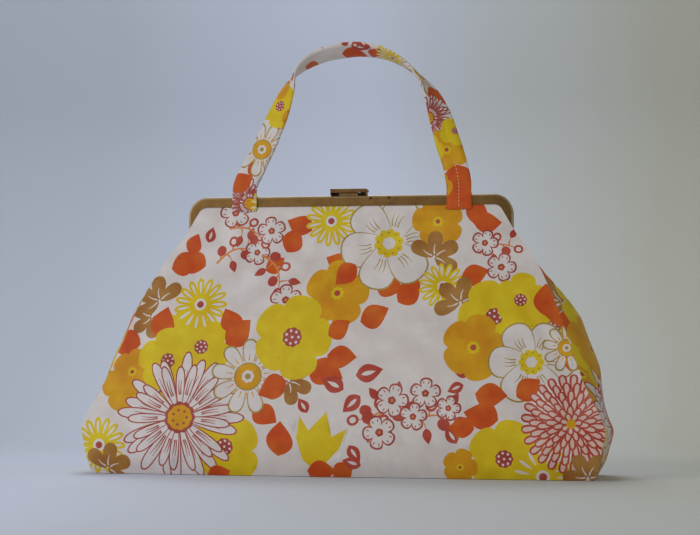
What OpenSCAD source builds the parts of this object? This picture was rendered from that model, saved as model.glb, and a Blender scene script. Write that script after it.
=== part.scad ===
// Cloth handbag on a two-part metal frame, with a tab clasp and one cloth handle.
// Origin at the middle of the base, +Z up, the front faces -Y.

/* [Bag] */
// Width of the body at its widest, near the base
bag_w = 388; // [330:1:440]
// Depth of the body between its side seams, near the base
bag_d = 104; // [80:1:130]
// How far the front and back panels swell past their seams
panel_swell = 8; // [2:0.5:12]
// How far the gussets swell past their seams
gusset_swell = 7; // [2:0.5:10]
// Thickness of the cloth with its backing
cloth_t = 1.2; // [0.8:0.1:1.8]
// Thickness of the lining
lining_t = 0.6; // [0.3:0.1:0.8]
// Thickness of the base board
board_t = 2.5; // [1.5:0.5:4]

/* [Frame] */
// Width of the frame over its legs
frame_w = 240; // [220:1:260]
// Height of the frame's top above the floor
frame_top = 202; // [180:1:230]
// Distance from the hinge axis up to the frame's top
frame_rise = 34; // [30:1:42]
// Height of the bar, and width of the legs
bar_h = 7.5; // [6.5:0.1:9]
// Depth of each bar from front to back
bar_d = 4; // [3.6:0.1:5]
// Gap between the two closed bars
bar_gap = 3.8; // [3.4:0.1:6]
// Radius of the frame's outer corners
corner_r = 14; // [11:0.5:18]
// Radius of the bar's long outer edges
edge_r = 1.2; // [0.6:0.1:1.4]
// Thickness of the channel's side walls
channel_wall = 0.8; // [0.6:0.1:0.9]
// Thickness of the channel's outer wall
channel_back = 1.8; // [1.4:0.1:2.2]
// Thickness of the strip that holds the cloth in the channel
clamp_t = 0.9; // [0.6:0.1:1]
// Radius of the hinge ears
ear_r = 4.5; // [4:0.1:5]
// Thickness of the hinge ears
ear_t = 1.2; // [1:0.1:1.4]
// Radius of the hinge rivets
rivet_r = 1.45; // [1.2:0.05:1.8]
// Radius of the rivet heads
rivet_head_r = 3; // [2.6:0.1:3.4]
// Thickness of the rivet heads
rivet_head_t = 1.2; // [0.8:0.1:1.4]

/* [Clasp] */
// Width of the clasp tab
tab_w = 27; // [22:0.5:34]
// Thickness of the clasp tab
tab_t = 1.1; // [0.8:0.1:1.4]
// Reach of the tab past the front bar's face
tab_reach = 1.1; // [0.6:0.1:2]
// Width of the keeper and of the bracket
keeper_w = 13.8; // [12:0.2:16]
// Height of the keeper above the bar
keeper_h = 3.6; // [3.4:0.1:4.2]
// Radius of the clasp's pin
pin_r = 0.6; // [0.5:0.05:0.7]
// Radius of the knuckles round the pin
knuckle_r = 1.3; // [1.2:0.05:1.4]
// Width of the tab's own knuckles
knuckle_w = 2.4; // [2:0.1:2.8]

/* [Handle] */
// Width of the handle strap
strap_w = 18.3; // [15:0.5:24]
// Thickness of the handle strap
strap_t = 3; // [2:0.2:3.6]
// Distance between the strap's ends, middle to middle
strap_span = 160; // [140:1:170]
// Height of the strap's top above its ends
strap_rise = 106.6; // [90:0.2:130]
// Thickness of the strap's front layer where it is wrapped round the bar
wrap_front_t = 1.4; // [1:0.1:1.6]
// Thickness of the strap's other layers round the bar
wrap_t = 1; // [0.8:0.1:1.2]
// How far the folded end hangs below the bar
fold_drop = 3.6; // [2.8:0.1:5]

/* [Print] */
// Radius of the large flat flowers
flower_r = 22; // [16:0.5:24]
// Radius of the small flat flowers
small_flower_r = 15.5; // [12:0.5:17]
// Radius of the daisy of long petals
daisy_r = 36; // [28:0.5:38]
// Radius of the flower of short scales
scale_flower_r = 27; // [20:0.5:29]
// Length of the leaves
leaf_l = 24; // [18:0.5:26]
// Width of the leaves
leaf_w = 13; // [9:0.5:14]
// Radius of the flower hearts
heart_r = 7; // [5:0.5:8]
// Radius of the round petals in threes
trio_r = 4.6; // [3:0.2:5]
// Radius of the berries
berry_r = 3.4; // [2:0.2:4]
// Thickness of the printed fields
print_t = 0.4; // [0.3:0.1:0.6]

/* [Hidden] */

// Clearances and overruns
soft_gap = 0.3;
hinge_gap = 0.2;
run_gap = 0.05;
seat_gap = 0.1;
pin_gap = 0.02;
over = 1;

// Smooth round parts
$fn = 48;

// Colours
cloth_colour = [0.90, 0.86, 0.82];
yellow_colour = [0.87, 0.77, 0.08];
gold_colour = [0.80, 0.60, 0.05];
orange_colour = [0.88, 0.38, 0.10];
brick_colour = [0.65, 0.24, 0.20];
tan_colour = [0.63, 0.46, 0.24];
lining_colour = [0.93, 0.90, 0.82];
board_colour = [0.62, 0.52, 0.40];
brass_colour = [0.47, 0.37, 0.22];
steel_colour = [0.70, 0.69, 0.66];

// Frame places
hinge_z = frame_top - frame_rise;
bar_y = (bar_gap + bar_d) / 2;
leg_x = frame_w / 2 - bar_h;
leg_end = ear_r + hinge_gap + bar_d / 2 + soft_gap;
hem_t = cloth_t;
hem_outer_y = bar_y + bar_d / 2 - channel_wall - seat_gap;
hem_inner_y = hem_outer_y - hem_t;
clamp_y = hem_inner_y - seat_gap;
groove_h = bar_h - channel_back;

// Strap ends: the layers round the front bar, and the line about which the handle swings
wrap_gap = 0.2;
wrap_in_y = bar_y + bar_d / 2 + wrap_gap;
wrap_top = frame_top + wrap_gap + wrap_t;
wrap_bottom = frame_top - bar_h - wrap_gap - wrap_t;
pinch_t = 0.8;
swing_gap = 1.4;
swing_y = -(wrap_in_y + wrap_front_t / 2);
swing_z = wrap_top + swing_gap;
end_gap = 0.95;
end_shares = [-0.969, 1.0125];
left_end_x = end_shares[0] * strap_span / 2;
right_end_x = end_shares[1] * strap_span / 2;

// The hem starts just under the frame's corners, and the cloth of the body stops under it,
// inside the circle that the hem's lower edge draws about the hinge
hem_lap = 1;
hem_drop = corner_r + hem_lap;
hem_z = hinge_z + frame_rise - hem_drop;
cloth_reach = sqrt(pow(frame_rise - hem_drop, 2) + pow(hem_inner_y, 2)) - soft_gap;
cloth_top = hinge_z + sqrt(pow(cloth_reach, 2) - pow(hem_outer_y, 2));

// Body places
gusset_top = hinge_z - ear_r - soft_gap;
shoulder_step = 1;
ear_inset = 0.8;
neck_gap = 0.7;
gusset_top_w = frame_w / 2 - channel_back - ear_inset;
gusset_top_d = hem_outer_y + shoulder_step;
neck_w = leg_x - neck_gap;
lining_in = cloth_t + soft_gap;
floor_z = cloth_t + seat_gap + board_t + seat_gap;

// Rows of the body from the base to the gussets' top: share of that height, of the extra half width,
// of the extra half depth, of the panels' swell and of the gussets' swell
body_shares = [
    [0.00, 0.765, 0.89, 0.35, 0.30],
    [0.03, 0.815, 0.955, 0.50, 0.55],
    [0.07, 0.855, 0.99, 0.62, 0.75],
    [0.13, 0.893, 1.00, 0.78, 0.93],
    [0.20, 0.909, 0.97, 0.90, 1.00],
    [0.26, 0.882, 0.92, 0.97, 0.93],
    [0.33, 0.817, 0.85, 1.00, 0.78],
    [0.41, 0.750, 0.77, 1.00, 0.63],
    [0.50, 0.680, 0.675, 1.00, 0.50],
    [0.60, 0.573, 0.57, 0.95, 0.32],
    [0.70, 0.467, 0.45, 0.90, 0.15],
    [0.80, 0.355, 0.32, 0.84, 0.00],
    [0.90, 0.238, 0.17, 0.74, -0.10],
    [0.96, 0.145, 0.07, 0.66, -0.10],
    [1.00, 0.000, 0.00, 0.60, 0.00]
];
widest_share = max([for (s = body_shares) s[1]]);
neck_shares = [0, 0.25, 0.5, 0.75, 1];
neck_depth_share = 0.4;
neck_swell_share = 0.55;
neck_start = hinge_z - shoulder_step;
full_w = bag_w / 2 - gusset_swell;
full_d = bag_d / 2;

// A row is [height, seam half width, seam half depth, swell of the panels, swell of the gussets]
body_rows = [for (s = body_shares) [
    s[0] * gusset_top,
    gusset_top_w + s[1] / widest_share * (full_w - gusset_top_w),
    gusset_top_d + s[2] * (full_d - gusset_top_d),
    s[3] * panel_swell,
    s[4] * gusset_swell
]];
neck_rows = [for (s = neck_shares) [
    neck_start + s * (cloth_top - neck_start),
    neck_w,
    gusset_top_d + (neck_depth_share + (1 - neck_depth_share) * s) * (hem_outer_y - gusset_top_d),
    neck_swell_share * pow(1 - s, 1.5) * panel_swell,
    0
]];
rows = concat(body_rows, neck_rows);

// Places across a panel, from seam to seam, and across a gusset
panel_cols = 10;
lining_cols = 6;
gusset_cols = 6;
across = [for (i = [0:panel_cols]) sin(90 * (2 * i / panel_cols - 1))];
lining_across = [for (i = [0:lining_cols]) sin(90 * (2 * i / lining_cols - 1))];
gusset_across = [for (i = [0:gusset_cols]) 2 * i / gusset_cols - 1];
ring_across = [for (i = [2:2:gusset_cols - 2]) gusset_across[i]];

// Row of the body at any height
function row_at(z) = [z, for (k = [1:4]) lookup(z, [for (r = rows) [r[0], r[k]]])];

// How full a panel is at a share of its half width, and a gusset at a share of its half depth
function panel_fill(u) = 1 - pow(abs(u), 2.5);
function gusset_fill(w) = 1 - w * w;

// Points of the front panel and of the right gusset, set in by a distance, the gusset's edges by another
function front_point(r, u, inset) = [u * (r[1] - inset), -(r[2] - inset + r[3] * panel_fill(u)), r[0]];
function side_point(r, w, inset, edge) = [r[1] - inset + r[4] * gusset_fill(w), w * (r[2] - edge), r[0]];

// Closed outline of the body at one row, from the front left seam round to it again
function ring(r, inset) = concat(
    [for (u = lining_across) front_point(r, u, inset)],
    [for (w = ring_across) side_point(r, w, inset, inset)],
    [for (u = lining_across) let (p = front_point(r, -u, inset)) [p[0], -p[1], p[2]]],
    [for (w = ring_across) let (p = side_point(r, -w, inset, inset)) [-p[0], p[1], p[2]]]
);
function flat(points) = [for (p = points) [p[0], p[1]]];

// Two triangles of a four-sided face
function halves(a, b, c, d) = [[a, b, c], [a, c, d]];

// Faces of a sheet with an outer grid of n points and an inner grid after it
function sheet_faces(count, cols, n) = concat(
    [for (i = [0:count - 2], j = [0:cols - 2]) let (a = i * cols + j)
        for (f = halves(a, a + cols, a + cols + 1, a + 1)) f],
    [for (i = [0:count - 2], j = [0:cols - 2]) let (a = n + i * cols + j)
        for (f = halves(a, a + 1, a + cols + 1, a + cols)) f],
    [for (j = [0:cols - 2]) for (f = halves(j, j + 1, j + 1 + n, j + n)) f],
    [for (j = [0:cols - 2]) let (a = (count - 1) * cols + j) for (f = halves(a + 1, a, a + n, a + 1 + n)) f],
    [for (i = [0:count - 2]) let (a = i * cols) for (f = halves(a + cols, a, a + n, a + cols + n)) f],
    [for (i = [0:count - 2]) let (a = i * cols + cols - 1) for (f = halves(a, a + cols, a + cols + n, a + n)) f]
);

// Sheet between two grids of rows
module sheet(outer, inner) {
    cols = len(outer[0]);
    points = concat([for (r = outer) each r], [for (r = inner) each r]);
    polyhedron(points, sheet_faces(len(outer), cols, len(outer) * cols));
}

module front_panel() {
    color(cloth_colour)
        sheet([for (r = rows) [for (u = across) front_point(r, u, 0)]],
            [for (r = rows) [for (u = across) front_point(r, u, 0) + [0, cloth_t, 0]]]);
}

module back_panel() {
    mirror([0, 1, 0]) front_panel();
}

// The gusset stands between the two panels, edge against cloth
module right_gusset() {
    color(cloth_colour)
        sheet([for (r = body_rows) [for (w = gusset_across) side_point(r, w, 0, cloth_t)]],
            [for (r = body_rows) [for (w = gusset_across) side_point(r, w, cloth_t, cloth_t)]]);
}

module left_gusset() {
    mirror([1, 0, 0]) right_gusset();
}

module base_panel() {
    color(cloth_colour)
        linear_extrude(cloth_t)
        polygon(flat(ring(rows[0], cloth_t)));
}

module base_board() {
    color(board_colour)
        translate([0, 0, cloth_t + seat_gap])
        linear_extrude(board_t)
        polygon(flat(ring(rows[0], lining_in + soft_gap)));
}

// One seamless bag inside the outer cloth, open at the top
module lining() {
    lining_rows = concat([row_at(floor_z)], [for (r = rows) if (r[0] > floor_z + 2 * lining_t) r]);
    floor_row = row_at(floor_z + lining_t);
    outer = [for (r = lining_rows) ring(r, lining_in)];
    inner = concat([ring(floor_row, lining_in + lining_t)],
        [for (i = [1:len(lining_rows) - 1]) ring(lining_rows[i], lining_in + lining_t)]);
    m = len(outer[0]);
    n = m * len(outer);
    last = n - m;
    points = concat([for (r = outer) each r], [for (r = inner) each r]);
    faces = concat(
        [for (i = [0:len(outer) - 2], j = [0:m - 1]) let (a = i * m + j, b = i * m + (j + 1) % m)
            for (f = halves(a, a + m, b + m, b)) f],
        [for (i = [0:len(outer) - 2], j = [0:m - 1]) let (a = n + i * m + j, b = n + i * m + (j + 1) % m)
            for (f = halves(a, b, b + m, a + m)) f],
        [for (j = [0:m - 1]) let (a = last + j, b = last + (j + 1) % m) for (f = halves(b, a, a + n, b + n)) f],
        [[for (j = [0:m - 1]) j]],
        [[for (j = [m - 1:-1:0]) j + n]]
    );
    color(lining_colour) polyhedron(points, faces);
}

// Outline with square lower corners and round upper ones
module bow_outline(w, top, bottom, r) {
    translate([-w / 2, bottom]) square([w, top - bottom - r]);
    translate([-w / 2 + r, bottom]) square([w - 2 * r, top - bottom]);
    for (side = [-1, 1]) translate([side * (w / 2 - r), top - r])
        intersection() {
            circle(r);
            translate([-r, 0]) square([2 * r, r]);
        }
}

// Plate standing in the XZ plane, its front face at y = near and its rear face at y = far
module upright(near, far) {
    translate([0, far, 0]) rotate([90, 0, 0]) linear_extrude(far - near) children();
}

// Section of the bar: inner edge at 0, outer edge at bar_h, open towards the cloth
module bar_section() {
    difference() {
        union() {
            translate([0, -bar_d / 2]) square([bar_h - edge_r, bar_d]);
            translate([0, -bar_d / 2 + edge_r]) square([bar_h, bar_d - 2 * edge_r]);
            for (side = [-1, 1]) translate([bar_h - edge_r, side * (bar_d / 2 - edge_r)]) circle(edge_r);
        }
        translate([-over, -bar_d / 2 + channel_wall]) square([groove_h + over, bar_d - 2 * channel_wall]);
    }
}

// Ear at the lower end of a leg, drawn as looking along X, with the leg at negative y
module ear_outline() {
    circle(ear_r);
    polygon([
        [-ear_r, 0],
        [-(bar_y + bar_d / 2), leg_end],
        [-(bar_y + bar_d / 2), leg_end + ear_r / 2],
        [-(bar_y - bar_d / 2), leg_end + ear_r / 2],
        [-(bar_y - bar_d / 2), leg_end],
        [ear_r * sin(34), ear_r * cos(34)],
        [0, 0]
    ]);
}

// One half of the frame, at the front: bar, corners, legs and ears
module frame_half(ear_x) {
    corner_x = frame_w / 2 - corner_r;
    corner_z = frame_top - corner_r;
    difference() {
        union() {
            translate([0, -bar_y, 0]) {
                translate([0, 0, frame_top - bar_h])
                    rotate([0, -90, 0])
                    linear_extrude(2 * corner_x, center = true)
                    bar_section();
                for (side = [0, 1]) mirror([side, 0, 0]) {
                    translate([corner_x, 0, corner_z])
                        rotate([90, 0, 0])
                        rotate_extrude(angle = 90)
                        translate([corner_r - bar_h, 0])
                        bar_section();
                    translate([leg_x, 0, hinge_z + leg_end])
                        linear_extrude(corner_z - hinge_z - leg_end)
                        bar_section();
                }
            }
            for (side = [0, 1]) mirror([side, 0, 0])
                translate([ear_x, 0, hinge_z])
                rotate([90, 0, 90])
                linear_extrude(ear_t)
                ear_outline();
        }
        for (side = [-1, 1]) translate([side * (ear_x + ear_t / 2), 0, hinge_z])
            rotate([0, 90, 0])
            cylinder(r = rivet_r + run_gap, h = ear_t + 2 * over, center = true);
    }
}

front_ear_x = frame_w / 2 - channel_back;
rear_ear_x = front_ear_x - hinge_gap - ear_t;

module front_frame() {
    color(brass_colour) frame_half(front_ear_x);
}

module rear_frame() {
    color(brass_colour) mirror([0, 1, 0]) frame_half(rear_ear_x);
}

// Rivet through both ears, with a head on each side
module right_hinge_rivet() {
    inner_face = rear_ear_x - hinge_gap;
    outer_face = front_ear_x + ear_t + hinge_gap;
    color(brass_colour)
        translate([0, 0, hinge_z])
        rotate([0, 90, 0]) {
            translate([0, 0, inner_face - rivet_head_t / 2])
                cylinder(r = rivet_r, h = outer_face - inner_face + rivet_head_t);
            translate([0, 0, inner_face - rivet_head_t]) cylinder(r = rivet_head_r, h = rivet_head_t);
            translate([0, 0, outer_face]) cylinder(r = rivet_head_r, h = rivet_head_t);
        }
}

module left_hinge_rivet() {
    mirror([1, 0, 0]) right_hinge_rivet();
}

// Top of the panel inside the frame, with its edge in the groove
module hem(windows) {
    hem_in = channel_back + soft_gap;
    difference() {
        upright(-hem_outer_y, -hem_inner_y)
            bow_outline(frame_w - 2 * hem_in, frame_top - hem_in, hem_z, corner_r - hem_in);
        for (x = windows) translate([x - strap_w / 2 - soft_gap, -hem_outer_y - over, wrap_bottom - soft_gap])
            cube([strap_w + 2 * soft_gap, hem_t + 2 * over, wrap_t + wrap_gap + 2 * soft_gap]);
    }
}

module front_hem() {
    color(cloth_colour) hem([left_end_x, right_end_x]);
}

module rear_hem() {
    color(cloth_colour) mirror([0, 1, 0]) hem([]);
}

// Strip pressed into the groove behind the hem
module clamp_strip() {
    strip_in = channel_back + soft_gap;
    strip_h = groove_h - 2 * soft_gap;
    upright(-clamp_y, -clamp_y + clamp_t)
        difference() {
            bow_outline(frame_w - 2 * strip_in, frame_top - strip_in, hem_z, corner_r - strip_in);
            bow_outline(frame_w - 2 * strip_in - 2 * strip_h, frame_top - strip_in - strip_h,
                hem_z - over, corner_r - strip_in - strip_h);
        }
}

module front_clamp_strip() {
    color(steel_colour) clamp_strip();
}

module rear_clamp_strip() {
    color(steel_colour) mirror([0, 1, 0]) clamp_strip();
}

// End of the strap wrapped round the front bar, with its folded edge hanging in front
module strap_end(x) {
    front_y = -(wrap_in_y + wrap_front_t);
    back_y = -(bar_y - bar_d / 2 - wrap_gap);
    layer_top = swing_z - end_gap - wrap_front_t / 2;
    color(gold_colour)
        translate([x + strap_w / 2, 0, 0])
        rotate([0, -90, 0])
        linear_extrude(strap_w) {
            difference() {
                translate([wrap_bottom, front_y]) square([wrap_top - wrap_bottom, back_y + wrap_t - front_y]);
                translate([frame_top - bar_h - wrap_gap, -wrap_in_y])
                    square([bar_h + 2 * wrap_gap, back_y + wrap_in_y]);
            }
            translate([frame_top - bar_h - fold_drop, front_y])
                square([layer_top - frame_top + bar_h + fold_drop, wrap_front_t]);
            translate([layer_top, swing_y]) circle(wrap_front_t / 2);
        }
}

module left_strap_end() {
    strap_end(left_end_x);
}

module right_strap_end() {
    strap_end(right_end_x);
}

// Places of the clasp
pin_y = bar_y;
tab_bottom = frame_top + keeper_h + soft_gap;
pin_z = tab_bottom - soft_gap - knuckle_r - seat_gap;
ear_gap_w = keeper_w / 3;

// Block on the front bar that the tab closes over, sloped towards the tab
module clasp_keeper() {
    half = bar_d / 2 - channel_wall / 2;
    color(brass_colour)
        translate([-keeper_w / 2, -bar_y, frame_top])
        rotate([90, 0, 90])
        linear_extrude(keeper_w)
        polygon([
            [-half, 0],
            [half, 0],
            [half, keeper_h / 2],
            [half / 2, keeper_h],
            [-half, keeper_h]
        ]);
}

// Two lugs on the rear bar that carry the pin
module clasp_bracket() {
    lug_w = (keeper_w - ear_gap_w) / 2;
    color(brass_colour)
        difference() {
            for (side = [-1, 1]) translate([side * (keeper_w - lug_w) / 2, pin_y, 0]) {
                translate([-lug_w / 2, -knuckle_r, frame_top]) cube([lug_w, 2 * knuckle_r, pin_z - frame_top]);
                translate([0, 0, pin_z]) rotate([0, 90, 0]) cylinder(r = knuckle_r, h = lug_w, center = true);
            }
            translate([0, pin_y, pin_z])
                rotate([0, 90, 0])
                cylinder(r = pin_r + pin_gap, h = keeper_w + 2 * over, center = true);
        }
}

module clasp_pin() {
    color(steel_colour)
        translate([0, pin_y, pin_z])
        rotate([0, 90, 0])
        cylinder(r = pin_r, h = keeper_w + 2 * (hinge_gap + soft_gap + knuckle_w), center = true);
}

// Coil of the clasp's spring, close wound round the pin between the lugs
module clasp_spring() {
    coil_w = ear_gap_w - 2 * seat_gap;
    color(steel_colour)
        translate([0, pin_y, pin_z])
        rotate([0, 90, 0])
        difference() {
            cylinder(r = knuckle_r - seat_gap, h = coil_w, center = true);
            cylinder(r = pin_r + run_gap, h = coil_w + 2 * over, center = true);
        }
}

// Flat lever over the keeper, with a rolled front edge and a knuckle at each end of the bracket
module clasp_tab() {
    front_y = -(bar_y + bar_d / 2 + tab_reach);
    knuckle_x = keeper_w / 2 + hinge_gap + soft_gap;
    color(brass_colour)
        difference() {
            union() {
                translate([-tab_w / 2, front_y, tab_bottom]) cube([tab_w, pin_y + knuckle_r - front_y, tab_t]);
                translate([0, front_y, tab_bottom + tab_t / 2])
                    rotate([0, 90, 0])
                    cylinder(r = tab_t / 2, h = tab_w, center = true);
                for (side = [0, 1]) mirror([side, 0, 0]) {
                    translate([knuckle_x, pin_y, pin_z]) rotate([0, 90, 0]) cylinder(r = knuckle_r, h = knuckle_w);
                    translate([knuckle_x, pin_y - knuckle_r / 2, pin_z])
                        cube([knuckle_w, knuckle_r, tab_bottom - pin_z + tab_t / 2]);
                }
            }
            translate([0, pin_y, pin_z])
                rotate([0, 90, 0])
                cylinder(r = pin_r + run_gap, h = tab_w + 2 * over, center = true);
        }
}

// Middle line of the handle from its left end to its right end: shares of half the span and of the rise
strap_route_shares = [
    [end_shares[0], 0.000], [-0.962, 0.060], [-0.890, 0.175], [-0.812, 0.295], [-0.694, 0.501], [-0.590, 0.700],
    [-0.520, 0.825], [-0.400, 0.915], [-0.213, 0.975], [0.040, 1.000], [0.270, 0.978], [0.480, 0.905],
    [0.662, 0.782], [0.775, 0.650], [0.850, 0.490], [0.913, 0.332], [0.975, 0.185], [1.009, 0.060],
    [end_shares[1], 0.000]
];
// Turn of the strap out of the front plane along its length, as a share of a quarter turn
strap_turn_shares = [
    [0.00, 0.00], [0.05, 0.04], [0.12, 0.28], [0.21, 0.60], [0.30, 0.85], [0.40, 1.00],
    [0.60, 1.00], [0.68, 0.75], [0.76, 0.50], [0.86, 0.38], [0.95, 0.10], [1.00, 0.00]
];
strap_steps = 2;
// Section of the strap: shares of its half width and of its half thickness
strap_section_shares = [[1, 0], [0.86, 1], [0, 1], [-0.86, 1], [-1, 0], [-0.86, -1], [0, -1], [0.86, -1]];

// Smooth curve through the route's points
function curve_point(a, b, c, d, t) = 0.5 * (2 * b + (c - a) * t
    + (2 * a - 5 * b + 4 * c - d) * t * t
    + (3 * b - a - 3 * c + d) * t * t * t);
function route_point(i, t) = let (s = strap_route_shares, last = len(s) - 1)
    curve_point(s[max(i - 1, 0)], s[i], s[i + 1], s[min(i + 2, last)], t);
route = concat(
    [for (i = [0:len(strap_route_shares) - 2], k = [0:strap_steps - 1]) route_point(i, k / strap_steps)],
    [strap_route_shares[len(strap_route_shares) - 1]]
);
route_line = [for (p = route) [p[0] * strap_span / 2, p[1] * strap_rise]];
route_last = len(route_line) - 1;

// Length of the route up to each point
function lengths(i = 0, sum = 0) = i > route_last ? [] :
    let (s = i == 0 ? 0 : sum + norm(route_line[i] - route_line[i - 1])) concat([s], lengths(i + 1, s));
route_lengths = lengths();
route_length = route_lengths[route_last];

// Direction of the route, upright at both ends
function route_way(i) = i == 0 ? [0, 1] : i == route_last ? [0, -1] :
    let (d = route_line[i + 1] - route_line[i - 1]) d / norm(d);

// One section of the strap: a flat oval, pinched thin at both ends and set edge-on at the top
function strap_ring(i) = let (
    s = route_lengths[i] / route_length,
    from_end = min(route_lengths[i], route_length - route_lengths[i]),
    half_t = min(strap_t, pinch_t + (strap_t - pinch_t) * from_end / (2 * strap_t)) / 2,
    half_w = strap_w / 2,
    angle = 90 * lookup(s, strap_turn_shares),
    way = route_way(i),
    out = [-way[1], 0, way[0]],
    face = cos(angle) * [0, -1, 0] + sin(angle) * out,
    wide = cross([way[0], 0, way[1]], face),
    centre = [route_line[i][0], swing_y + strap_t * sin(180 * s), swing_z + route_line[i][1]]
) [for (p = strap_section_shares)
    centre + p[0] * half_w * wide + p[1] * half_t * face];

module handle_strap() {
    sections = [for (i = [0:route_last]) strap_ring(i)];
    m = len(strap_section_shares);
    last = route_last * m;
    faces = concat(
        [for (i = [0:route_last - 1], j = [0:m - 1]) let (a = i * m + j, b = i * m + (j + 1) % m)
            for (f = halves(a, a + m, b + m, b)) f],
        [for (j = [1:m - 2]) [0, j, j + 1]],
        [for (j = [1:m - 2]) [last, last + j + 1, last + j]]
    );
    color(gold_colour) polyhedron([for (r = sections) each r], faces);
}

// Places of the print: shares of the bag's half width and of the gussets' height, then a turn in degrees
yellow_shares = [[-0.577, 0.650, 10], [-0.268, 0.184, 40], [-0.165, 0.600, 0], [0.505, 0.723, 25], [0.515, 0.168, 60]];
gold_shares = [[-0.763, 0.539, 0], [0.000, 0.846, 20], [0.443, 0.453, 45]];
heart_shares = [[-0.577, 0.270, 0], [-0.340, 0.453, 0], [0.701, 0.564, 0], [0.240, 0.900, 0], [0.763, 0.245, 0]];
leaf_shares = [
    [-0.608, 0.809, 100], [-0.423, 0.784, 60], [-0.423, 0.588, -30], [-0.021, 0.515, -10], [0.010, 0.613, 40],
    [-0.124, 0.331, 20], [-0.103, 0.135, 75], [0.608, 0.429, 100], [0.814, 0.441, 100], [0.340, 0.650, 130],
    [0.340, 0.061, 100], [0.629, 0.846, 110]
];
trio_shares = [[-0.716, 0.735, 30], [-0.196, 0.368, 0], [0.320, 0.821, 70]];
berry_shares = [
    [0.134, 0.270, 0], [0.175, 0.319, 0], [0.216, 0.263, 0], [0.258, 0.331, 0], [0.299, 0.276, 0],
    [0.180, 0.214, 0], [-0.309, 0.870, 0], [-0.258, 0.919, 0], [-0.227, 0.858, 0]
];
daisy_shares = [[-0.577, 0.270, 0]];
scale_flower_shares = [[0.763, 0.245, 0]];

// Shapes of the print: shares of a radius, or of a leaf's length and width
petal_share = 0.42;
leaf_outline_shares = [[0, 0], [0.3, -0.5], [0.7, -0.42], [1, 0], [0.7, 0.42], [0.3, 0.5]];
ray_shares = [[0.28, 0], [0.7, -0.085], [1, 0], [0.7, 0.085]];
scale_shares = [[0.44, 0], [0.74, -0.12], [1, 0], [0.74, 0.12]];
ray_count = 11;
scale_count = 11;
petal_sides = 8;
berry_sides = 6;

module placed(places) {
    for (p = places) translate([p[0] * bag_w / 2, p[1] * gusset_top]) rotate(p[2]) children();
}

module flower(r) {
    for (k = [0:4]) rotate(72 * k) translate([r * (1 - petal_share), 0]) circle(r * petal_share, $fn = petal_sides);
    circle(r / 2, $fn = petal_sides);
}

module trio(r) {
    for (k = [0:2]) rotate(120 * k) translate([r, 0]) circle(r, $fn = petal_sides);
}

module leaf() {
    polygon([for (p = leaf_outline_shares) [p[0] * leaf_l, p[1] * leaf_w]]);
}

module rays(r, outline_shares, count) {
    for (k = [1:count]) rotate(360 * k / count) polygon([for (p = outline_shares) p * r]);
}

// Cuts the flat shapes out of a thin layer that lies on the front panel
module printed() {
    layer_in = [0, -seat_gap, 0];
    layer_out = [0, -seat_gap - print_t, 0];
    intersection() {
        sheet([for (r = body_rows) [for (u = across) front_point(r, u, 0) + layer_out]],
            [for (r = body_rows) [for (u = across) front_point(r, u, 0) + layer_in]]);
        upright(-bag_d, 0) children();
    }
}

module front_yellow_print() {
    color(yellow_colour) printed() placed(yellow_shares) flower(flower_r);
}

module front_gold_print() {
    color(gold_colour)
        printed() {
            placed(gold_shares) flower(small_flower_r);
            placed(heart_shares) circle(heart_r, $fn = petal_sides);
        }
}

module front_orange_print() {
    color(orange_colour) printed() placed(leaf_shares) leaf();
}

module front_brick_print() {
    color(brick_colour)
        printed() {
            placed(daisy_shares) rays(daisy_r, ray_shares, ray_count);
            placed(scale_flower_shares) rays(scale_flower_r, scale_shares, scale_count);
            placed(berry_shares) circle(berry_r, $fn = berry_sides);
        }
}

module front_tan_print() {
    color(tan_colour) printed() placed(trio_shares) trio(trio_r);
}

module back_yellow_print() {
    mirror([0, 1, 0]) front_yellow_print();
}

module back_gold_print() {
    mirror([0, 1, 0]) front_gold_print();
}

module back_orange_print() {
    mirror([0, 1, 0]) front_orange_print();
}

module back_brick_print() {
    mirror([0, 1, 0]) front_brick_print();
}

module back_tan_print() {
    mirror([0, 1, 0]) front_tan_print();
}

front_panel();
back_panel();
left_gusset();
right_gusset();
base_panel();
base_board();
lining();
left_hinge_rivet();
right_hinge_rivet();
front_frame();
front_hem();
front_clamp_strip();
clasp_keeper();
left_strap_end();
right_strap_end();
rear_frame();
rear_hem();
rear_clamp_strip();
clasp_bracket();
clasp_pin();
clasp_spring();
clasp_tab();
handle_strap();
front_yellow_print();
front_gold_print();
front_orange_print();
front_brick_print();
front_tan_print();
back_yellow_print();
back_gold_print();
back_orange_print();
back_brick_print();
back_tan_print();
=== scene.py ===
"""A frame handbag of printed cloth, dressed over its fixed frame.

The bag is a gathered cloth shell hung in a hinged frame of old brass, with one flat handle of the same
cloth. The shell, the lining and the handle are surfaces worked out with numpy; the print is cut from flat
shapes, laid over each other on the flat cloth, and carried to the surface with it. Lengths are in metres.
"""

import logging
import math
from dataclasses import dataclass, field
from enum import Enum
from typing import Callable, Sequence

import bpy
import numpy as np
from mathutils import Matrix, Vector
from mathutils.geometry import delaunay_2d_cdt

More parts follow.
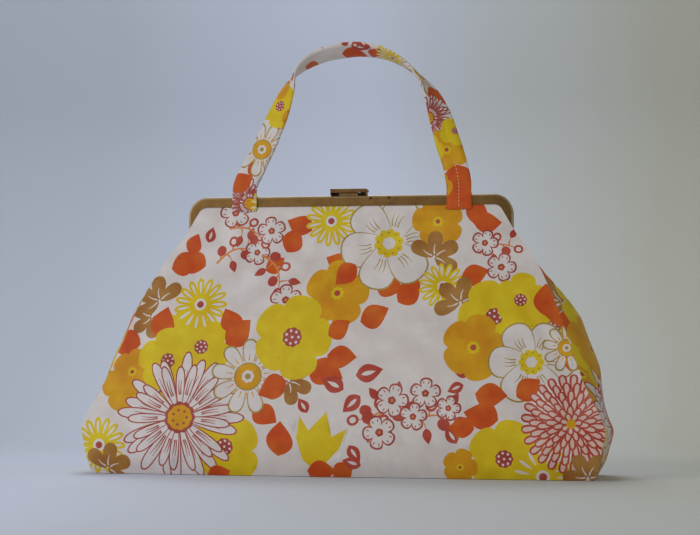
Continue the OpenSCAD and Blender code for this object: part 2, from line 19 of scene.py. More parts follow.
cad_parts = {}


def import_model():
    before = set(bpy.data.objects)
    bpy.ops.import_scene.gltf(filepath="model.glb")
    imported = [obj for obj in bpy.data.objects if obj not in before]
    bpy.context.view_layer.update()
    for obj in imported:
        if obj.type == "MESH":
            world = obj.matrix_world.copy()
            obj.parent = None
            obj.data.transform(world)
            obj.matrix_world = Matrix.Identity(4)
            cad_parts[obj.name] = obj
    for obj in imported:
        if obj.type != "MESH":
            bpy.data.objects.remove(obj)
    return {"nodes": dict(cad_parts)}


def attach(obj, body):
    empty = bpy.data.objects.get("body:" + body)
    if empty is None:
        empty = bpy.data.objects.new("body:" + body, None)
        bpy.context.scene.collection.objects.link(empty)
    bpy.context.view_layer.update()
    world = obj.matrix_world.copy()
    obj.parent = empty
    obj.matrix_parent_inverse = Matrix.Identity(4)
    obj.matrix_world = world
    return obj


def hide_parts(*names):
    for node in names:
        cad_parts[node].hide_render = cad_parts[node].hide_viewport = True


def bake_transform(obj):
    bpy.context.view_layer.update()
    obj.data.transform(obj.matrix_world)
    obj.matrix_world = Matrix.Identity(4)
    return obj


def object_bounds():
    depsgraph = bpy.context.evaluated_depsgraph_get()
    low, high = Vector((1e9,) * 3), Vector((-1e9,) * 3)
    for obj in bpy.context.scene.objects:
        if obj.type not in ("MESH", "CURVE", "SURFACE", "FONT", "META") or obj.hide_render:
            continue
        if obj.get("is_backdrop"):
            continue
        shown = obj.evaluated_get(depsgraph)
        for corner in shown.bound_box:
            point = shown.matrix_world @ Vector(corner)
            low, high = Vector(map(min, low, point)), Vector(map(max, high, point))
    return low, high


LOG = logging.getLogger("handbag")

Surface = Callable[[np.ndarray, np.ndarray], np.ndarray]
Patch = tuple["Ink", np.ndarray]

MM = 1000.0


def linear(red: int, green: int, blue: int) -> tuple[float, float, float]:
    """Turns a display colour from 0 to 255 into linear light.

    Args:
        red, green, blue: the colour as a screen shows it.

    Returns:
        The three linear values, each (c/255 + 0.055)/1.055 to the power 2.4.
    """
    return tuple(((c / 255.0 + 0.055) / 1.055) ** 2.4 for c in (red, green, blue))


class Ink(Enum):
    """Colours of the print, as linear light."""

    GROUND = linear(230, 220, 214)
    YELLOW = linear(228, 197, 14)
    GOLD = linear(222, 159, 5)
    ORANGE = linear(212, 88, 12)
    BRICK = linear(189, 77, 58)
    TAN = linear(174, 120, 52)
    RED_LINE = linear(174, 74, 62)
    OLIVE_LINE = linear(178, 147, 66)
    STEM = linear(222, 136, 74)
    BLUSH = linear(229, 196, 182)


class Slot(Enum):
    """Material slots of the record."""

    PRINT = "printed_cloth"
    LINING = "lining_cloth"
    BOARD = "board"
    BRASS = "old_brass"


def smooth_lookup(x: np.ndarray, xs: np.ndarray, ys: np.ndarray) -> np.ndarray:
    """Reads a smooth curve through points.

    Cubic Hermite pieces whose slopes are the mean of the two neighbouring chords, limited to three times
    the smaller chord, so the curve never overshoots.

    Args:
        x: places to read, any shape.
        xs: places of the points, rising.
        ys: values of the points.

    Returns:
        The values at x.
    """
    chord = np.diff(ys) / np.diff(xs)
    slope = np.zeros(len(xs))
    slope[1:-1] = (chord[:-1] + chord[1:]) / 2
    limit = 3 * np.minimum(np.abs(chord[:-1]), np.abs(chord[1:]))
    same = chord[:-1] * chord[1:] > 0
    slope[1:-1] = np.where(same, np.clip(slope[1:-1], -limit, limit), 0)
    slope[0], slope[-1] = chord[0], chord[-1]
    x = np.clip(x, xs[0], xs[-1])
    i = np.clip(np.searchsorted(xs, x, side="right") - 1, 0, len(xs) - 2)
    h = xs[i + 1] - xs[i]
    t = (x - xs[i]) / h
    return (
        ys[i] * (1 + 2 * t) * (1 - t) ** 2
        + ys[i + 1] * t * t * (3 - 2 * t)
        + slope[i] * h * t * (1 - t) ** 2
        - slope[i + 1] * h * t * t * (1 - t)
    )


def smooth_step(x: np.ndarray, low: float, high: float) -> np.ndarray:
    """Rises from 0 at low to 1 at high as 3t^2 - 2t^3."""
    t = np.clip((x - low) / (high - low), 0, 1)
    return t * t * (3 - 2 * t)


# The print: flat shapes in metres, laid over each other from the first to the last


def turned(points: np.ndarray, angle: float, x: float = 0.0, y: float = 0.0) -> np.ndarray:
    """Turns points about the origin by an angle in degrees, then moves them.

    Args:
        points: (n, 2) points.
        angle: degrees, anticlockwise.
        x, y: the move.

    Returns:
        The (n, 2) points in place.
    """
    c, s = math.cos(math.radians(angle)), math.sin(math.radians(angle))
    return points @ np.array([[c, s], [-s, c]]) + np.array([x, y])


def anticlockwise(points: np.ndarray) -> np.ndarray:
    """Gives an outline in anticlockwise order, by the sign of its area."""
    x, y = points[:, 0], points[:, 1]
    area = float(np.sum(x * np.roll(y, -1) - y * np.roll(x, -1)))
    return points if area > 0 else points[::-1]


def rosette(radius: float, lobes: int, depth: float, blunt: float = 0.6, count: int = 0) -> np.ndarray:
    """Outline of a flat flower: radius times 1 - depth (1 - |cos(lobes t / 2)|^blunt).

    Args:
        radius: reach of a lobe.
        lobes: number of lobes.
        depth: how far the notches go in, as a share of the radius.
        blunt: under 1 makes the lobes broad and the notches narrow.
        count: points on the outline, or 0 for nine a lobe.

    Returns:
        (n, 2) points.
    """
    count = count or lobes * 9
    t = np.arange(count) / count * 2 * np.pi
    r = radius * (1 - depth * (1 - np.abs(np.cos(lobes * t / 2)) ** blunt))
    return np.stack([r * np.cos(t), r * np.sin(t)], 1)


def leaf(length: float, width: float, bend: float = 0.0, count: int = 9) -> np.ndarray:
    """Pointed leaf from the origin along +X: half width sin(pi s^0.8), bent sideways by bend s^2.

    Args:
        length, width: its size.
        bend: sideways shift of the tip.
        count: points along each side.

    Returns:
        (n, 2) points.
    """
    s = np.linspace(0, 1, count)
    half = width / 2 * np.sin(np.pi * s**0.8)
    mid = bend * s * s
    upper = np.stack([s * length, mid + half], 1)
    lower = np.stack([s * length, mid - half], 1)[1:-1][::-1]
    return np.concatenate([upper, lower])


def petal(start: float, length: float, width: float, count: int = 8) -> np.ndarray:
    """Blunt petal along +X from start: half width rises as s^0.6 and closes as the root of 1 - s^4.

    Args:
        start: distance of its foot from the flower's middle.
        length, width: its size.
        count: points along each side.

    Returns:
        (n, 2) points.
    """
    s = np.sin(np.linspace(0, np.pi / 2, count))
    half = width / 2 * (0.18 + 0.82 * s**0.6) * np.sqrt(np.clip(1 - s**4, 0, 1))
    upper = np.stack([start + s * length, half], 1)
    lower = np.stack([start + s * length, -half], 1)[:-1][::-1]
    return np.concatenate([upper, lower])


def disc(radius: float, count: int = 14) -> np.ndarray:
    """Round dot."""
    return rosette(radius, 1, 0.0, 1.0, count)


def stroke(points: np.ndarray, width: float) -> np.ndarray:
    """Outline of a line drawn with a round-tapered brush.

    Args:
        points: (n, 2) points of the line.
        width: its width; it thins to a third at its end.

    Returns:
        (2n, 2) points: each point moved along its normal by half the width, and back the other way.
    """
    way = np.gradient(points, axis=0)
    way /= np.linalg.norm(way, axis=1, keepdims=True)
    normal = np.stack([-way[:, 1], way[:, 0]], 1)
    half = (width / 2 * np.linspace(1, 0.35, len(points)))[:, None]
    return np.concatenate([points + normal * half, (points - normal * half)[::-1]])


def arc(x0: float, y0: float, x1: float, y1: float, bow: float, count: int = 7) -> np.ndarray:
    """Bowed line from one point to another: the chord plus bow sin(pi t) along its normal."""
    t = np.linspace(0, 1, count)[:, None]
    a, b = np.array([x0, y0]), np.array([x1, y1])
    d = (b - a) / max(float(np.linalg.norm(b - a)), 1e-9)
    return a + (b - a) * t + np.array([-d[1], d[0]]) * bow * np.sin(np.pi * t)


class Motif(Enum):
    """Kinds of shape in the print."""

    DAISY = "outlined daisy of many long petals"
    POPPY = "white flower of six broad petals"
    CUP = "white flower of nine round petals"
    FLAT_YELLOW = "flat yellow flower with a small blossom in it"
    FLAT_GOLD = "flat golden flower"
    LINES = "yellow flower of narrow rays"
    DAHLIA = "red flower of rows of scales"
    LEAVES = "pair of orange leaves"
    LEAF = "one orange leaf"
    TRIO = "three tan petals"
    BERRIES = "twig with brick-red berries"
    BLOSSOM = "small outlined blossom"
    TULIP = "yellow cup of three points"
    BUD = "brick-red bud"


@dataclass(frozen=True)
class Placed:
    """One motif on the flat cloth, in millimetres and degrees."""

    kind: Motif
    x: float
    y: float
    size: float
    angle: float = 0.0


class PrintDesign:
    """Draws motifs as lists of coloured outlines, the first at the bottom."""

    line: float = 0.0012

    def ring_of(
        self, outline: Callable[[float], np.ndarray], count: int, phase: float, ink: Ink, fill: Ink
    ) -> list[Patch]:
        """Repeats an outlined petal round the middle.

        Args:
            outline: gives the petal for an inset of its edge.
            count: number of petals.
            phase: turn of the first, in degrees.
            ink, fill: colours of its line and its field.

        Returns:
            The petals' patches.
        """
        out: list[Patch] = []
        for k in range(count):
            angle = phase + 360.0 * k / count
            out.append((ink, turned(outline(0.0), angle)))
            out.append((fill, turned(outline(self.line), angle)))
        return out

    def daisy(self, r: float) -> list[Patch]:
        """Two rows of long white petals with red lines round a golden middle of red dots."""
        out: list[Patch] = []
        for row, (reach, wide, count) in enumerate(((1.0, 0.25, 20), (0.84, 0.21, 17))):
            for k in range(count):
                angle = 360.0 * (k + 0.5 * row) / count + 5 * math.sin(2.4 * k)
                size = r * reach * (1 - 0.08 * math.sin(1.9 * k) ** 2)
                out.append((Ink.RED_LINE, turned(petal(0.14 * r, size - 0.14 * r, wide * r), angle)))
                inner = petal(0.16 * r, size - 0.16 * r - self.line, wide * r - 2.0 * self.line)
                out.append((Ink.GROUND, turned(inner, angle)))
                for lean in (-2.2, 1.8):
                    vein = stroke(arc(0.34 * r, 0, size * 0.72, 0, 0.01 * r, 4), 0.8 * self.line)
                    out.append((Ink.RED_LINE, turned(vein, angle + lean)))
        out.append((Ink.RED_LINE, rosette(0.24 * r, 11, 0.12)))
        out.append((Ink.GOLD, rosette(0.19 * r, 9, 0.10)))
        for k in range(7):
            out.append((Ink.RED_LINE, turned(disc(0.022 * r, 7), 0, *(0.11 * r * np.array(
                [math.cos(k * 0.9), math.sin(k * 0.9)])))))
        return out

    def poppy(self, r: float, petals: int = 6) -> list[Patch]:
        """Broad white petals with an olive line and a yellow middle with a ring of dots."""
        out: list[Patch] = []
        for k in range(petals):
            angle = 360.0 * k / petals
            out.append((Ink.OLIVE_LINE, turned(petal(0.05 * r, 0.95 * r, 1.02 * r, 10), angle)))
            pale = petal(0.05 * r, 0.95 * r - self.line, 1.02 * r - 2 * self.line, 10)
            out.append((Ink.GROUND, turned(pale, angle)))
        for k in range(petals):
            for side in (-9, 0, 9):
                vein = stroke(arc(0.36 * r, 0, 0.62 * r, 0, 0.02 * r, 4), 0.8 * self.line)
                out.append((Ink.OLIVE_LINE, turned(vein, 360.0 * k / petals + side)))
        out.append((Ink.YELLOW, rosette(0.30 * r, 10, 0.22)))
        out.append((Ink.GROUND, rosette(0.13 * r, 6, 0.15)))
        for k in range(9):
            spot = 0.22 * r * np.array([math.cos(k * 0.7), math.sin(k * 0.7)])
            out.append((Ink.OLIVE_LINE, turned(disc(0.022 * r, 7), 0, *spot)))
        return out

    def cup(self, r: float) -> list[Patch]:
        """Nine round white petals, each with a golden line, round a golden middle."""
        def outline(inset: float) -> np.ndarray:
            """Round petal with its edge moved in."""
            return petal(0.30 * r, 0.70 * r - inset, 0.56 * r - 2 * inset)

        out = self.ring_of(outline, 9, 10, Ink.OLIVE_LINE, Ink.GROUND)
        for k in range(18):
            vein = stroke(arc(0.42 * r, 0, 0.60 * r, 0, 0.0, 3), 0.8 * self.line)
            out.append((Ink.GOLD, turned(vein, 20.0 * k + 10)))
        out.append((Ink.OLIVE_LINE, disc(0.37 * r, 24)))
        out.append((Ink.GOLD, disc(0.33 * r, 24)))
        out.append((Ink.GROUND, rosette(0.17 * r, 7, 0.2)))
        out.append((Ink.OLIVE_LINE, disc(0.08 * r, 10)))
        return out

    def flat(self, r: float, fill: Ink, petals: int = 5) -> list[Patch]:
        """Flat flower of broad round petals, with a dotted red heart in the yellow and a spot in the golden.

        Args:
            r: its reach.
            fill: colour of its petals.
            petals: number of petals.

        Returns:
            Its patches.
        """
        out: list[Patch] = []
        wide = 2.05 * r * math.sin(math.pi / petals)
        for k in range(petals):
            size = r * (1 - 0.10 * math.sin(2.2 * k + 1) ** 2)
            out.append((fill, turned(petal(0.0, size, wide, 11), 360.0 * k / petals + 4 * math.sin(3.0 * k))))
        if fill is Ink.YELLOW:
            out.append((Ink.RED_LINE, rosette(0.23 * r, 9, 0.14)))
            for k in range(8):
                spot = (0.15 if k else 0.0) * r * np.array([math.cos(0.9 * k), math.sin(0.9 * k)])
                out.append((Ink.GROUND, turned(disc(0.034 * r, 7), 0, *spot)))
        else:
            out.append((Ink.YELLOW, rosette(0.20 * r, 9, 0.35)))
            out.append((Ink.BRICK, disc(0.09 * r, 10)))
        return out

    def rays(self, r: float) -> list[Patch]:
        """Fifteen narrow yellow rays, each with a pale line, round a small dot."""
        out: list[Patch] = []
        for k in range(15):
            angle = 24.0 * k
            out.append((Ink.YELLOW, turned(petal(0.16 * r, 0.84 * r, 0.36 * r, 7), angle)))
            out.append((Ink.GROUND, turned(petal(0.42 * r, 0.46 * r, 0.13 * r, 5), angle)))
        out.append((Ink.GROUND, disc(0.22 * r, 12)))
        out.append((Ink.RED_LINE, disc(0.13 * r, 10)))
        return out

    def dahlia(self, r: float) -> list[Patch]:
        """Six rows of pale scales with red edges, each over the last, round a small golden middle."""
        out: list[Patch] = []
        for row, reach in enumerate((1.0, 0.84, 0.68, 0.52, 0.37, 0.23)):
            count = (25, 22, 19, 15, 11, 7)[row]
            wide = 2 * math.pi * reach * r / count * 0.98
            foot = max(reach - 0.34, 0.04) * r
            for k in range(count):
                angle = 360.0 * (k + 0.5 * (row % 2)) / count + 7 * row
                out.append((Ink.BRICK, turned(petal(foot, reach * r - foot, wide, 6), angle)))
                inner = petal(foot + 0.04 * r, reach * r - foot - 0.04 * r - 0.9 * self.line, wide * 0.52, 6)
                out.append((Ink.BLUSH, turned(inner, angle)))
        out.append((Ink.GOLD, disc(0.10 * r, 10)))
        return out

    def leaves(self, r: float, pair: bool = True) -> list[Patch]:
        """One broad orange leaf, or two from one foot."""
        out: list[Patch] = []
        for angle, bend in ((-32, -0.1), (34, 0.12)) if pair else ((0, 0.12),):
            out.append((Ink.ORANGE, turned(leaf(r, 0.80 * r, bend * r, 12), angle)))
        return out

    def trio(self, r: float) -> list[Patch]:
        """Three or four round tan petals meeting at a point."""
        out: list[Patch] = []
        for angle in (-62, 0, 58, 118):
            out.append((Ink.TAN, turned(petal(0.05 * r, 0.95 * r, 0.80 * r), angle)))
            vein = stroke(arc(0.1 * r, 0, 0.5 * r, 0, 0.03 * r, 4), self.line)
            out.append((Ink.GROUND, turned(vein, angle)))
        return out

    def blossom(self, r: float, ink: Ink = Ink.RED_LINE) -> list[Patch]:
        """Small five-lobed blossom in line with a dotted middle."""
        out: list[Patch] = []
        for edge in (0.0, 1.1 * self.line):
            for k in range(5):
                lobe = petal(0.1 * r, 0.9 * r - edge, 1.08 * r - 2 * edge, 8)
                out.append((Ink.GROUND if edge else ink, turned(lobe, 72.0 * k)))
        for k in range(5):
            for lean in (-13, 13):
                vein = stroke(arc(0.62 * r, 0, 0.80 * r, 0, 0, 3), 0.8 * self.line)
                out.append((ink, turned(vein, 72.0 * k + lean)))
        out.append((ink, rosette(0.24 * r, 5, 0.2)))
        out.append((Ink.STEM, disc(0.10 * r, 7)))
        return out

    def berries(self, r: float) -> list[Patch]:
        """Bowed twig with berries and two small leaves on it."""
        out: list[Patch] = [(Ink.STEM, stroke(arc(0, 0, 2 * r, 0, 0.35 * r, 12), 1.6 * self.line))]
        for k, (s, side) in enumerate(((0.12, 1), (0.30, -1), (0.48, 1), (0.66, -1), (0.84, 1), (1.0, -0.3))):
            x, y = 2 * r * s, 0.35 * r * math.sin(math.pi * s)
            bx, by = x + 0.16 * r, y + side * 0.40 * r
            out.append((Ink.STEM, stroke(arc(x, y, bx, by, 0.03 * r, 4), 1.2 * self.line)))
            if k % 3 == 1:
                out.append((Ink.BRICK, turned(leaf(0.66 * r, 0.38 * r, 0.0, 7), 70 * side - 20, bx, by)))
            else:
                out.append((Ink.BRICK, turned(rosette(0.27 * r, 2, 0.15, 1.0, 14), 50 * side, bx, by)))
            if k % 3 == 2:
                out.append((Ink.GROUND, turned(rosette(0.15 * r, 2, 0.15, 1.0, 10), 50 * side, bx, by)))
        return out

    def tulip(self, r: float) -> list[Patch]:
        """Yellow cup with three points."""
        body = np.array([[-0.7, 0.6], [-0.62, 0.0], [-0.3, -0.55], [0.0, -0.7], [0.3, -0.55], [0.62, 0.0],
                         [0.7, 0.6], [0.34, 0.28], [0.0, 0.9], [-0.34, 0.28]]) * r
        return [(Ink.GROUND, body * 1.1), (Ink.YELLOW, body)]

    def bud(self, r: float) -> list[Patch]:
        """Brick-red bud with a pale slit."""
        heart = turned(leaf(0.8 * r, 0.24 * r), 4, 0.3 * r)
        return [(Ink.BRICK, leaf(1.5 * r, r, 0.1 * r)), (Ink.GROUND, heart)]

    def draw(self, item: Placed) -> list[Patch]:
        """Draws one motif in its place.

        Args:
            item: the motif.

        Returns:
            Its patches, in metres on the flat cloth.
        """
        r = item.size / 1000.0
        makers: dict[Motif, Callable[[], list[Patch]]] = {
            Motif.DAISY: lambda: self.daisy(r),
            Motif.POPPY: lambda: self.poppy(r),
            Motif.CUP: lambda: self.cup(r),
            Motif.FLAT_YELLOW: lambda: self.flat(r, Ink.YELLOW),
            Motif.FLAT_GOLD: lambda: self.flat(r, Ink.GOLD),
            Motif.LINES: lambda: self.rays(r),
            Motif.DAHLIA: lambda: self.dahlia(r),
            Motif.LEAVES: lambda: self.leaves(r),
            Motif.LEAF: lambda: self.leaves(r, False),
            Motif.TRIO: lambda: self.trio(r),
            Motif.BERRIES: lambda: self.berries(r),
            Motif.BLOSSOM: lambda: self.blossom(r),
            Motif.TULIP: lambda: self.tulip(r),
            Motif.BUD: lambda: self.bud(r),
        }
        x, y = item.x / MM, item.y / MM
        return [(ink, turned(p, item.angle, x, y)) for ink, p in makers[item.kind]()]


M = Motif
FRONT_PRINT: tuple[Placed, ...] = tuple(Placed(*row) for row in (
    (M.FLAT_GOLD, 132, 98, 23, 30), (M.FLAT_YELLOW, 150, 106, 21, 0), (M.FLAT_YELLOW, -114, 98, 22, 10),
    (M.FLAT_GOLD, -152, 62, 21, 30), (M.FLAT_YELLOW, -128, 62, 22, 0), (M.LEAF, -20, 78, 26, -30),
    (M.LEAF, 14, 108, 22, 20), (M.LEAF, 24, 136, 20, -20), (M.LEAF, -58, 146, 16, 30),
    (M.LEAF, -118, 160, 16, 60), (M.LEAF, -130, 148, 23, 20), (M.TRIO, -136, 124, 19, 100),
    (M.LEAF, -146, 92, 24, 170), (M.FLAT_GOLD, -150, 72, 17, 0), (M.TRIO, -140, 112, 16, 220),
    (M.LEAF, -134, 96, 24, 70), (M.FLAT_YELLOW, -124, 80, 24, 20), (M.FLAT_YELLOW, -100, 90, 23, 50),
    (M.LINES, -104, 121, 20, 0), (M.LEAF, -104, 150, 22, 160), (M.LEAF, -82, 92, 24, 40),
    (M.LEAF, -76, 100, 20, 110), (M.LINES, -170, 20, 20, 0), (M.TRIO, -164, 4, 18, 20),
    (M.FLAT_YELLOW, -78, 20, 27, 30), (M.DAISY, -111, 40, 47, 0), (M.LEAF, -58, 48, 20, -40),
    (M.CUP, -64, 69, 27, 0), (M.TRIO, -34, 66, 17, -80), (M.LEAF, -36, 66, 22, 200),
    (M.LEAF, -40, 14, 24, 80), (M.BERRIES, -96, 152, 15, 20), (M.BLOSSOM, -66, 160, 10, 0),
    (M.BERRIES, -88, 178, 14, -20), (M.BLOSSOM, -56, 176, 11, 25), (M.BERRIES, -62, 158, 15, -60),
    (M.BLOSSOM, -41, 124, 12, 20), (M.BLOSSOM, -84, 190, 12, 30), (M.BUD, -104, 168, 8, 70),
    (M.LEAF, -44, 160, 20, 60), (M.LEAF, -26, 176, 20, 150), (M.LINES, -12, 183, 19, 0),
    (M.LEAF, 6, 186, 20, 10), (M.LEAF, 4, 148, 20, 150), (M.FLAT_GOLD, -4, 129, 25, 10),
    (M.FLAT_YELLOW, -34, 97, 31, 0), (M.LEAF, -8, 98, 18, 30), (M.LEAF, -8, 84, 21, -10),
    (M.BUD, 13, 70, 13, 10), (M.BUD, 5, 60, 12, 150), (M.BUD, 17, 56, 11, 220), (M.TULIP, -12, 23, 25, -14),
    (M.LEAF, -20, 4, 20, -6), (M.LEAF, -2, -1, 18, 30), (M.BERRIES, 40, 60, 16, -140),
    (M.BERRIES, 22, 30, 17, 34), (M.BERRIES, 50, 34, 17, 10), (M.BLOSSOM, 39, 53, 12, 0),
    (M.BLOSSOM, 62, 58, 11, 15), (M.BLOSSOM, 31, 31, 12, 40), (M.BLOSSOM, 54, 42, 10, 10),
    (M.BLOSSOM, 78, 48, 9, 0), (M.BUD, 10, 22, 9, -60), (M.BUD, 18, 8, 9, 160), (M.BUD, 82, 72, 9, 10),
    (M.BUD, 88, 64, 8, 200), (M.BUD, 84, 24, 9, 120), (M.LEAF, 40, 122, 22, 40), (M.POPPY, 31, 166, 36, 12),
    (M.LEAF, 8, 150, 20, 220), (M.LEAVES, 92, 180, 20, 40), (M.FLAT_GOLD, 66, 182, 20, 30),
    (M.TRIO, 64, 156, 19, 30), (M.LINES, 71, 134, 17, 0), (M.LEAF, 84, 140, 20, 10),
    (M.TRIO, 84, 122, 19, 80), (M.BERRIES, 96, 158, 13, 10), (M.BLOSSOM, 112, 148, 11, 0),
    (M.BLOSSOM, 100, 166, 10, 0), (M.FLAT_YELLOW, 108, 112, 27, 40), (M.FLAT_YELLOW, 126, 124, 20, 10),
    (M.FLAT_GOLD, 94, 90, 24, 0), (M.LEAVES, 144, 112, 24, 50), (M.POPPY, 134, 80, 30, 0),
    (M.LEAF, 160, 74, 22, 70), (M.CUP, 158, 90, 17, 0), (M.LEAF, 96, 58, 22, -10),
    (M.LEAF, 112, 40, 24, 160), (M.LEAF, 124, 56, 20, 30), (M.FLAT_YELLOW, 116, 14, 27, 0),
    (M.LEAF, 96, 34, 18, 170), (M.LINES, 142, 2, 22, 0), (M.DAHLIA, 161, 38, 34, 0),
    (M.FLAT_GOLD, 86, 8, 13, 0), (M.TRIO, 172, 2, 17, 60), (M.BUD, -20, 44, 8, 120),
    (M.LEAF, -92, -2, 18, 10),
))


STRAP_PRINT: tuple[Placed, ...] = tuple(Placed(*row) for row in (
    (M.FLAT_YELLOW, 6, 1, 11, 0), (M.DAISY, 6, 13, 21, 0), (M.LEAF, 14, 1, 18, 30),
    (M.LEAF, 30, 15, 13, -60), (M.CUP, 49, 9, 21, 0), (M.TRIO, 68, 18, 10, 0),
    (M.FLAT_YELLOW, 84, 9, 18, 20), (M.FLAT_GOLD, 98, 2, 11, 0), (M.BUD, 103, 9, 7, 30),
    (M.BLOSSOM, 110, 7, 9, 0), (M.BUD, 112, 14, 6, 160), (M.BERRIES, 118, 9, 9, 0),
    (M.LEAF, 150, 29, 20, 8), (M.BUD, 158, 21, 9, 10), (M.LEAVES, 176, 22, 13, 60),
    (M.BERRIES, 150, 13, 10, 0), (M.FLAT_YELLOW, 148, 6, 12, 0), (M.LINES, 190, 26, 14, 0),
    (M.LEAF, 176, 6, 16, 20), (M.TRIO, 200, 33, 10, 40), (M.LEAF, 120, 28, 14, 40),
    (M.BLOSSOM, 100, 27, 9, 0), (M.FLAT_GOLD, 76, 28, 14, 0), (M.CUP, 212, 11, 20, 0),
    (M.LEAVES, 228, 4, 13, 30), (M.BLOSSOM, 214, 29, 10, 0), (M.DAISY, 248, 19, 20, 0),
    (M.LEAVES, 238, 28, 13, 0), (M.FLAT_GOLD, 274, 12, 17, 20), (M.FLAT_YELLOW, 262, 2, 12, 0),
    (M.FLAT_YELLOW, 270, 27, 14, 0), (M.LEAF, 286, 9, 36, 0), (M.LEAF, 322, 3, 22, 168),
    (M.LEAF, 322, 16, 22, 192), (M.FLAT_GOLD, 300, 28, 15, 0), (M.TRIO, 54, 29, 12, 0),
    (M.LEAVES, 28, 27, 14, 0), (M.LINES, 4, 27, 14, 0),
))


@dataclass
class Tree:
    """A new material with short ways to fill its nodes."""

    name: str
    material: bpy.types.Material = field(init=False)
    shader: bpy.types.Node = field(init=False)

    def __post_init__(self) -> None:
        """Makes the material and finds its shader."""
        self.material = bpy.data.materials.new(self.name)
        self.material.use_nodes = True
        self.shader = self.material.node_tree.nodes["Principled BSDF"]

    def feed(self, node: bpy.types.Node, inputs: dict[str | int, object]) -> None:
        """Sets a node's inputs: each by a value, or by the output that feeds it."""
        for key, value in inputs.items():
            if isinstance(value, bpy.types.NodeSocket):
                self.material.node_tree.links.new(value, node.inputs[key])
            else:
                node.inputs[key].default_value = value

    def add(self, kind: str, inputs: dict[str | int, object], **settings: object) -> bpy.types.Node:
        """Adds a node.

        Args:
            kind: its type, without "ShaderNode".
            inputs: its inputs by name or number.
            settings: its own properties.

        Returns:
            The node.
        """
        node = self.material.node_tree.nodes.new(f"ShaderNode{kind}")
        for key, value in settings.items():
            setattr(node, key, value)
        self.feed(node, inputs)
        return node

    def blended(self, mask: bpy.types.NodeSocket, under: bpy.types.NodeSocket,
                over: tuple[float, float, float]) -> bpy.types.NodeSocket:
        """Lays a colour over another where the mask is up, and gives the output."""
        return self.add("Mix", {"Factor": mask, 6: under, 7: (*over, 1)}, data_type="RGBA").outputs[2]


@dataclass(frozen=True)
class PrintedCloth:
    """Satin-woven cotton with a print: its colours from the piece's attribute, a fine weave, slight sheen."""

    roughness: float = 0.62
    sheen: float = 0.10
    thread: float = 0.00055
    relief: float = 0.00005

    def material(self) -> bpy.types.Material:
        """Builds the material.

        Returns:
            A material that reads the colour attribute "print" and the map "cloth".
        """
        tree = Tree("printed_cloth")
        place = tree.add("UVMap", {}, uv_map="cloth").outputs[0]
        colour = tree.add("Attribute", {}, attribute_name="print").outputs["Color"]
        fade = tree.add("TexNoise", {"Vector": place, "Scale": 60.0, "Detail": 5.0})
        tone = tree.add("MapRange", {"Value": fade.outputs["Fac"], "From Min": 0.3, "From Max": 0.75,
                                     "To Min": 0.90, "To Max": 1.04})
        pool = tree.add("TexNoise", {"Vector": place, "Scale": 55.0, "Detail": 2.0})
        depth = tree.add("MapRange", {"Value": pool.outputs["Fac"], "From Min": 0.3, "From Max": 0.7,
                                      "To Min": 0.82, "To Max": 1.22})
        ink = tree.add("Gamma", {"Color": colour, "Gamma": depth.outputs[0]})
        scaled = tree.add("VectorMath", {0: ink.outputs[0], "Scale": tone.outputs[0]}, operation="SCALE")
        waves = [
            tree.add("TexWave", {"Vector": place, "Scale": math.pi / (10.0 * self.thread), "Distortion": 0.6,
                                 "Detail": 1.0}, bands_direction=axis, wave_profile="SIN").outputs["Fac"]
            for axis in ("X", "Y")
        ]
        weave = tree.add("Math", {0: waves[0], 1: waves[1]}, operation="MULTIPLY")
        bump = tree.add("Bump", {"Height": weave.outputs[0], "Strength": 0.35, "Distance": self.relief})
        tree.feed(tree.shader, {
            "Roughness": self.roughness, "Sheen Weight": self.sheen, "Sheen Roughness": 0.4,
            "Specular IOR Level": 0.35, "Base Color": scaled.outputs[0], "Normal": bump.outputs[0],
        })
        return tree.material


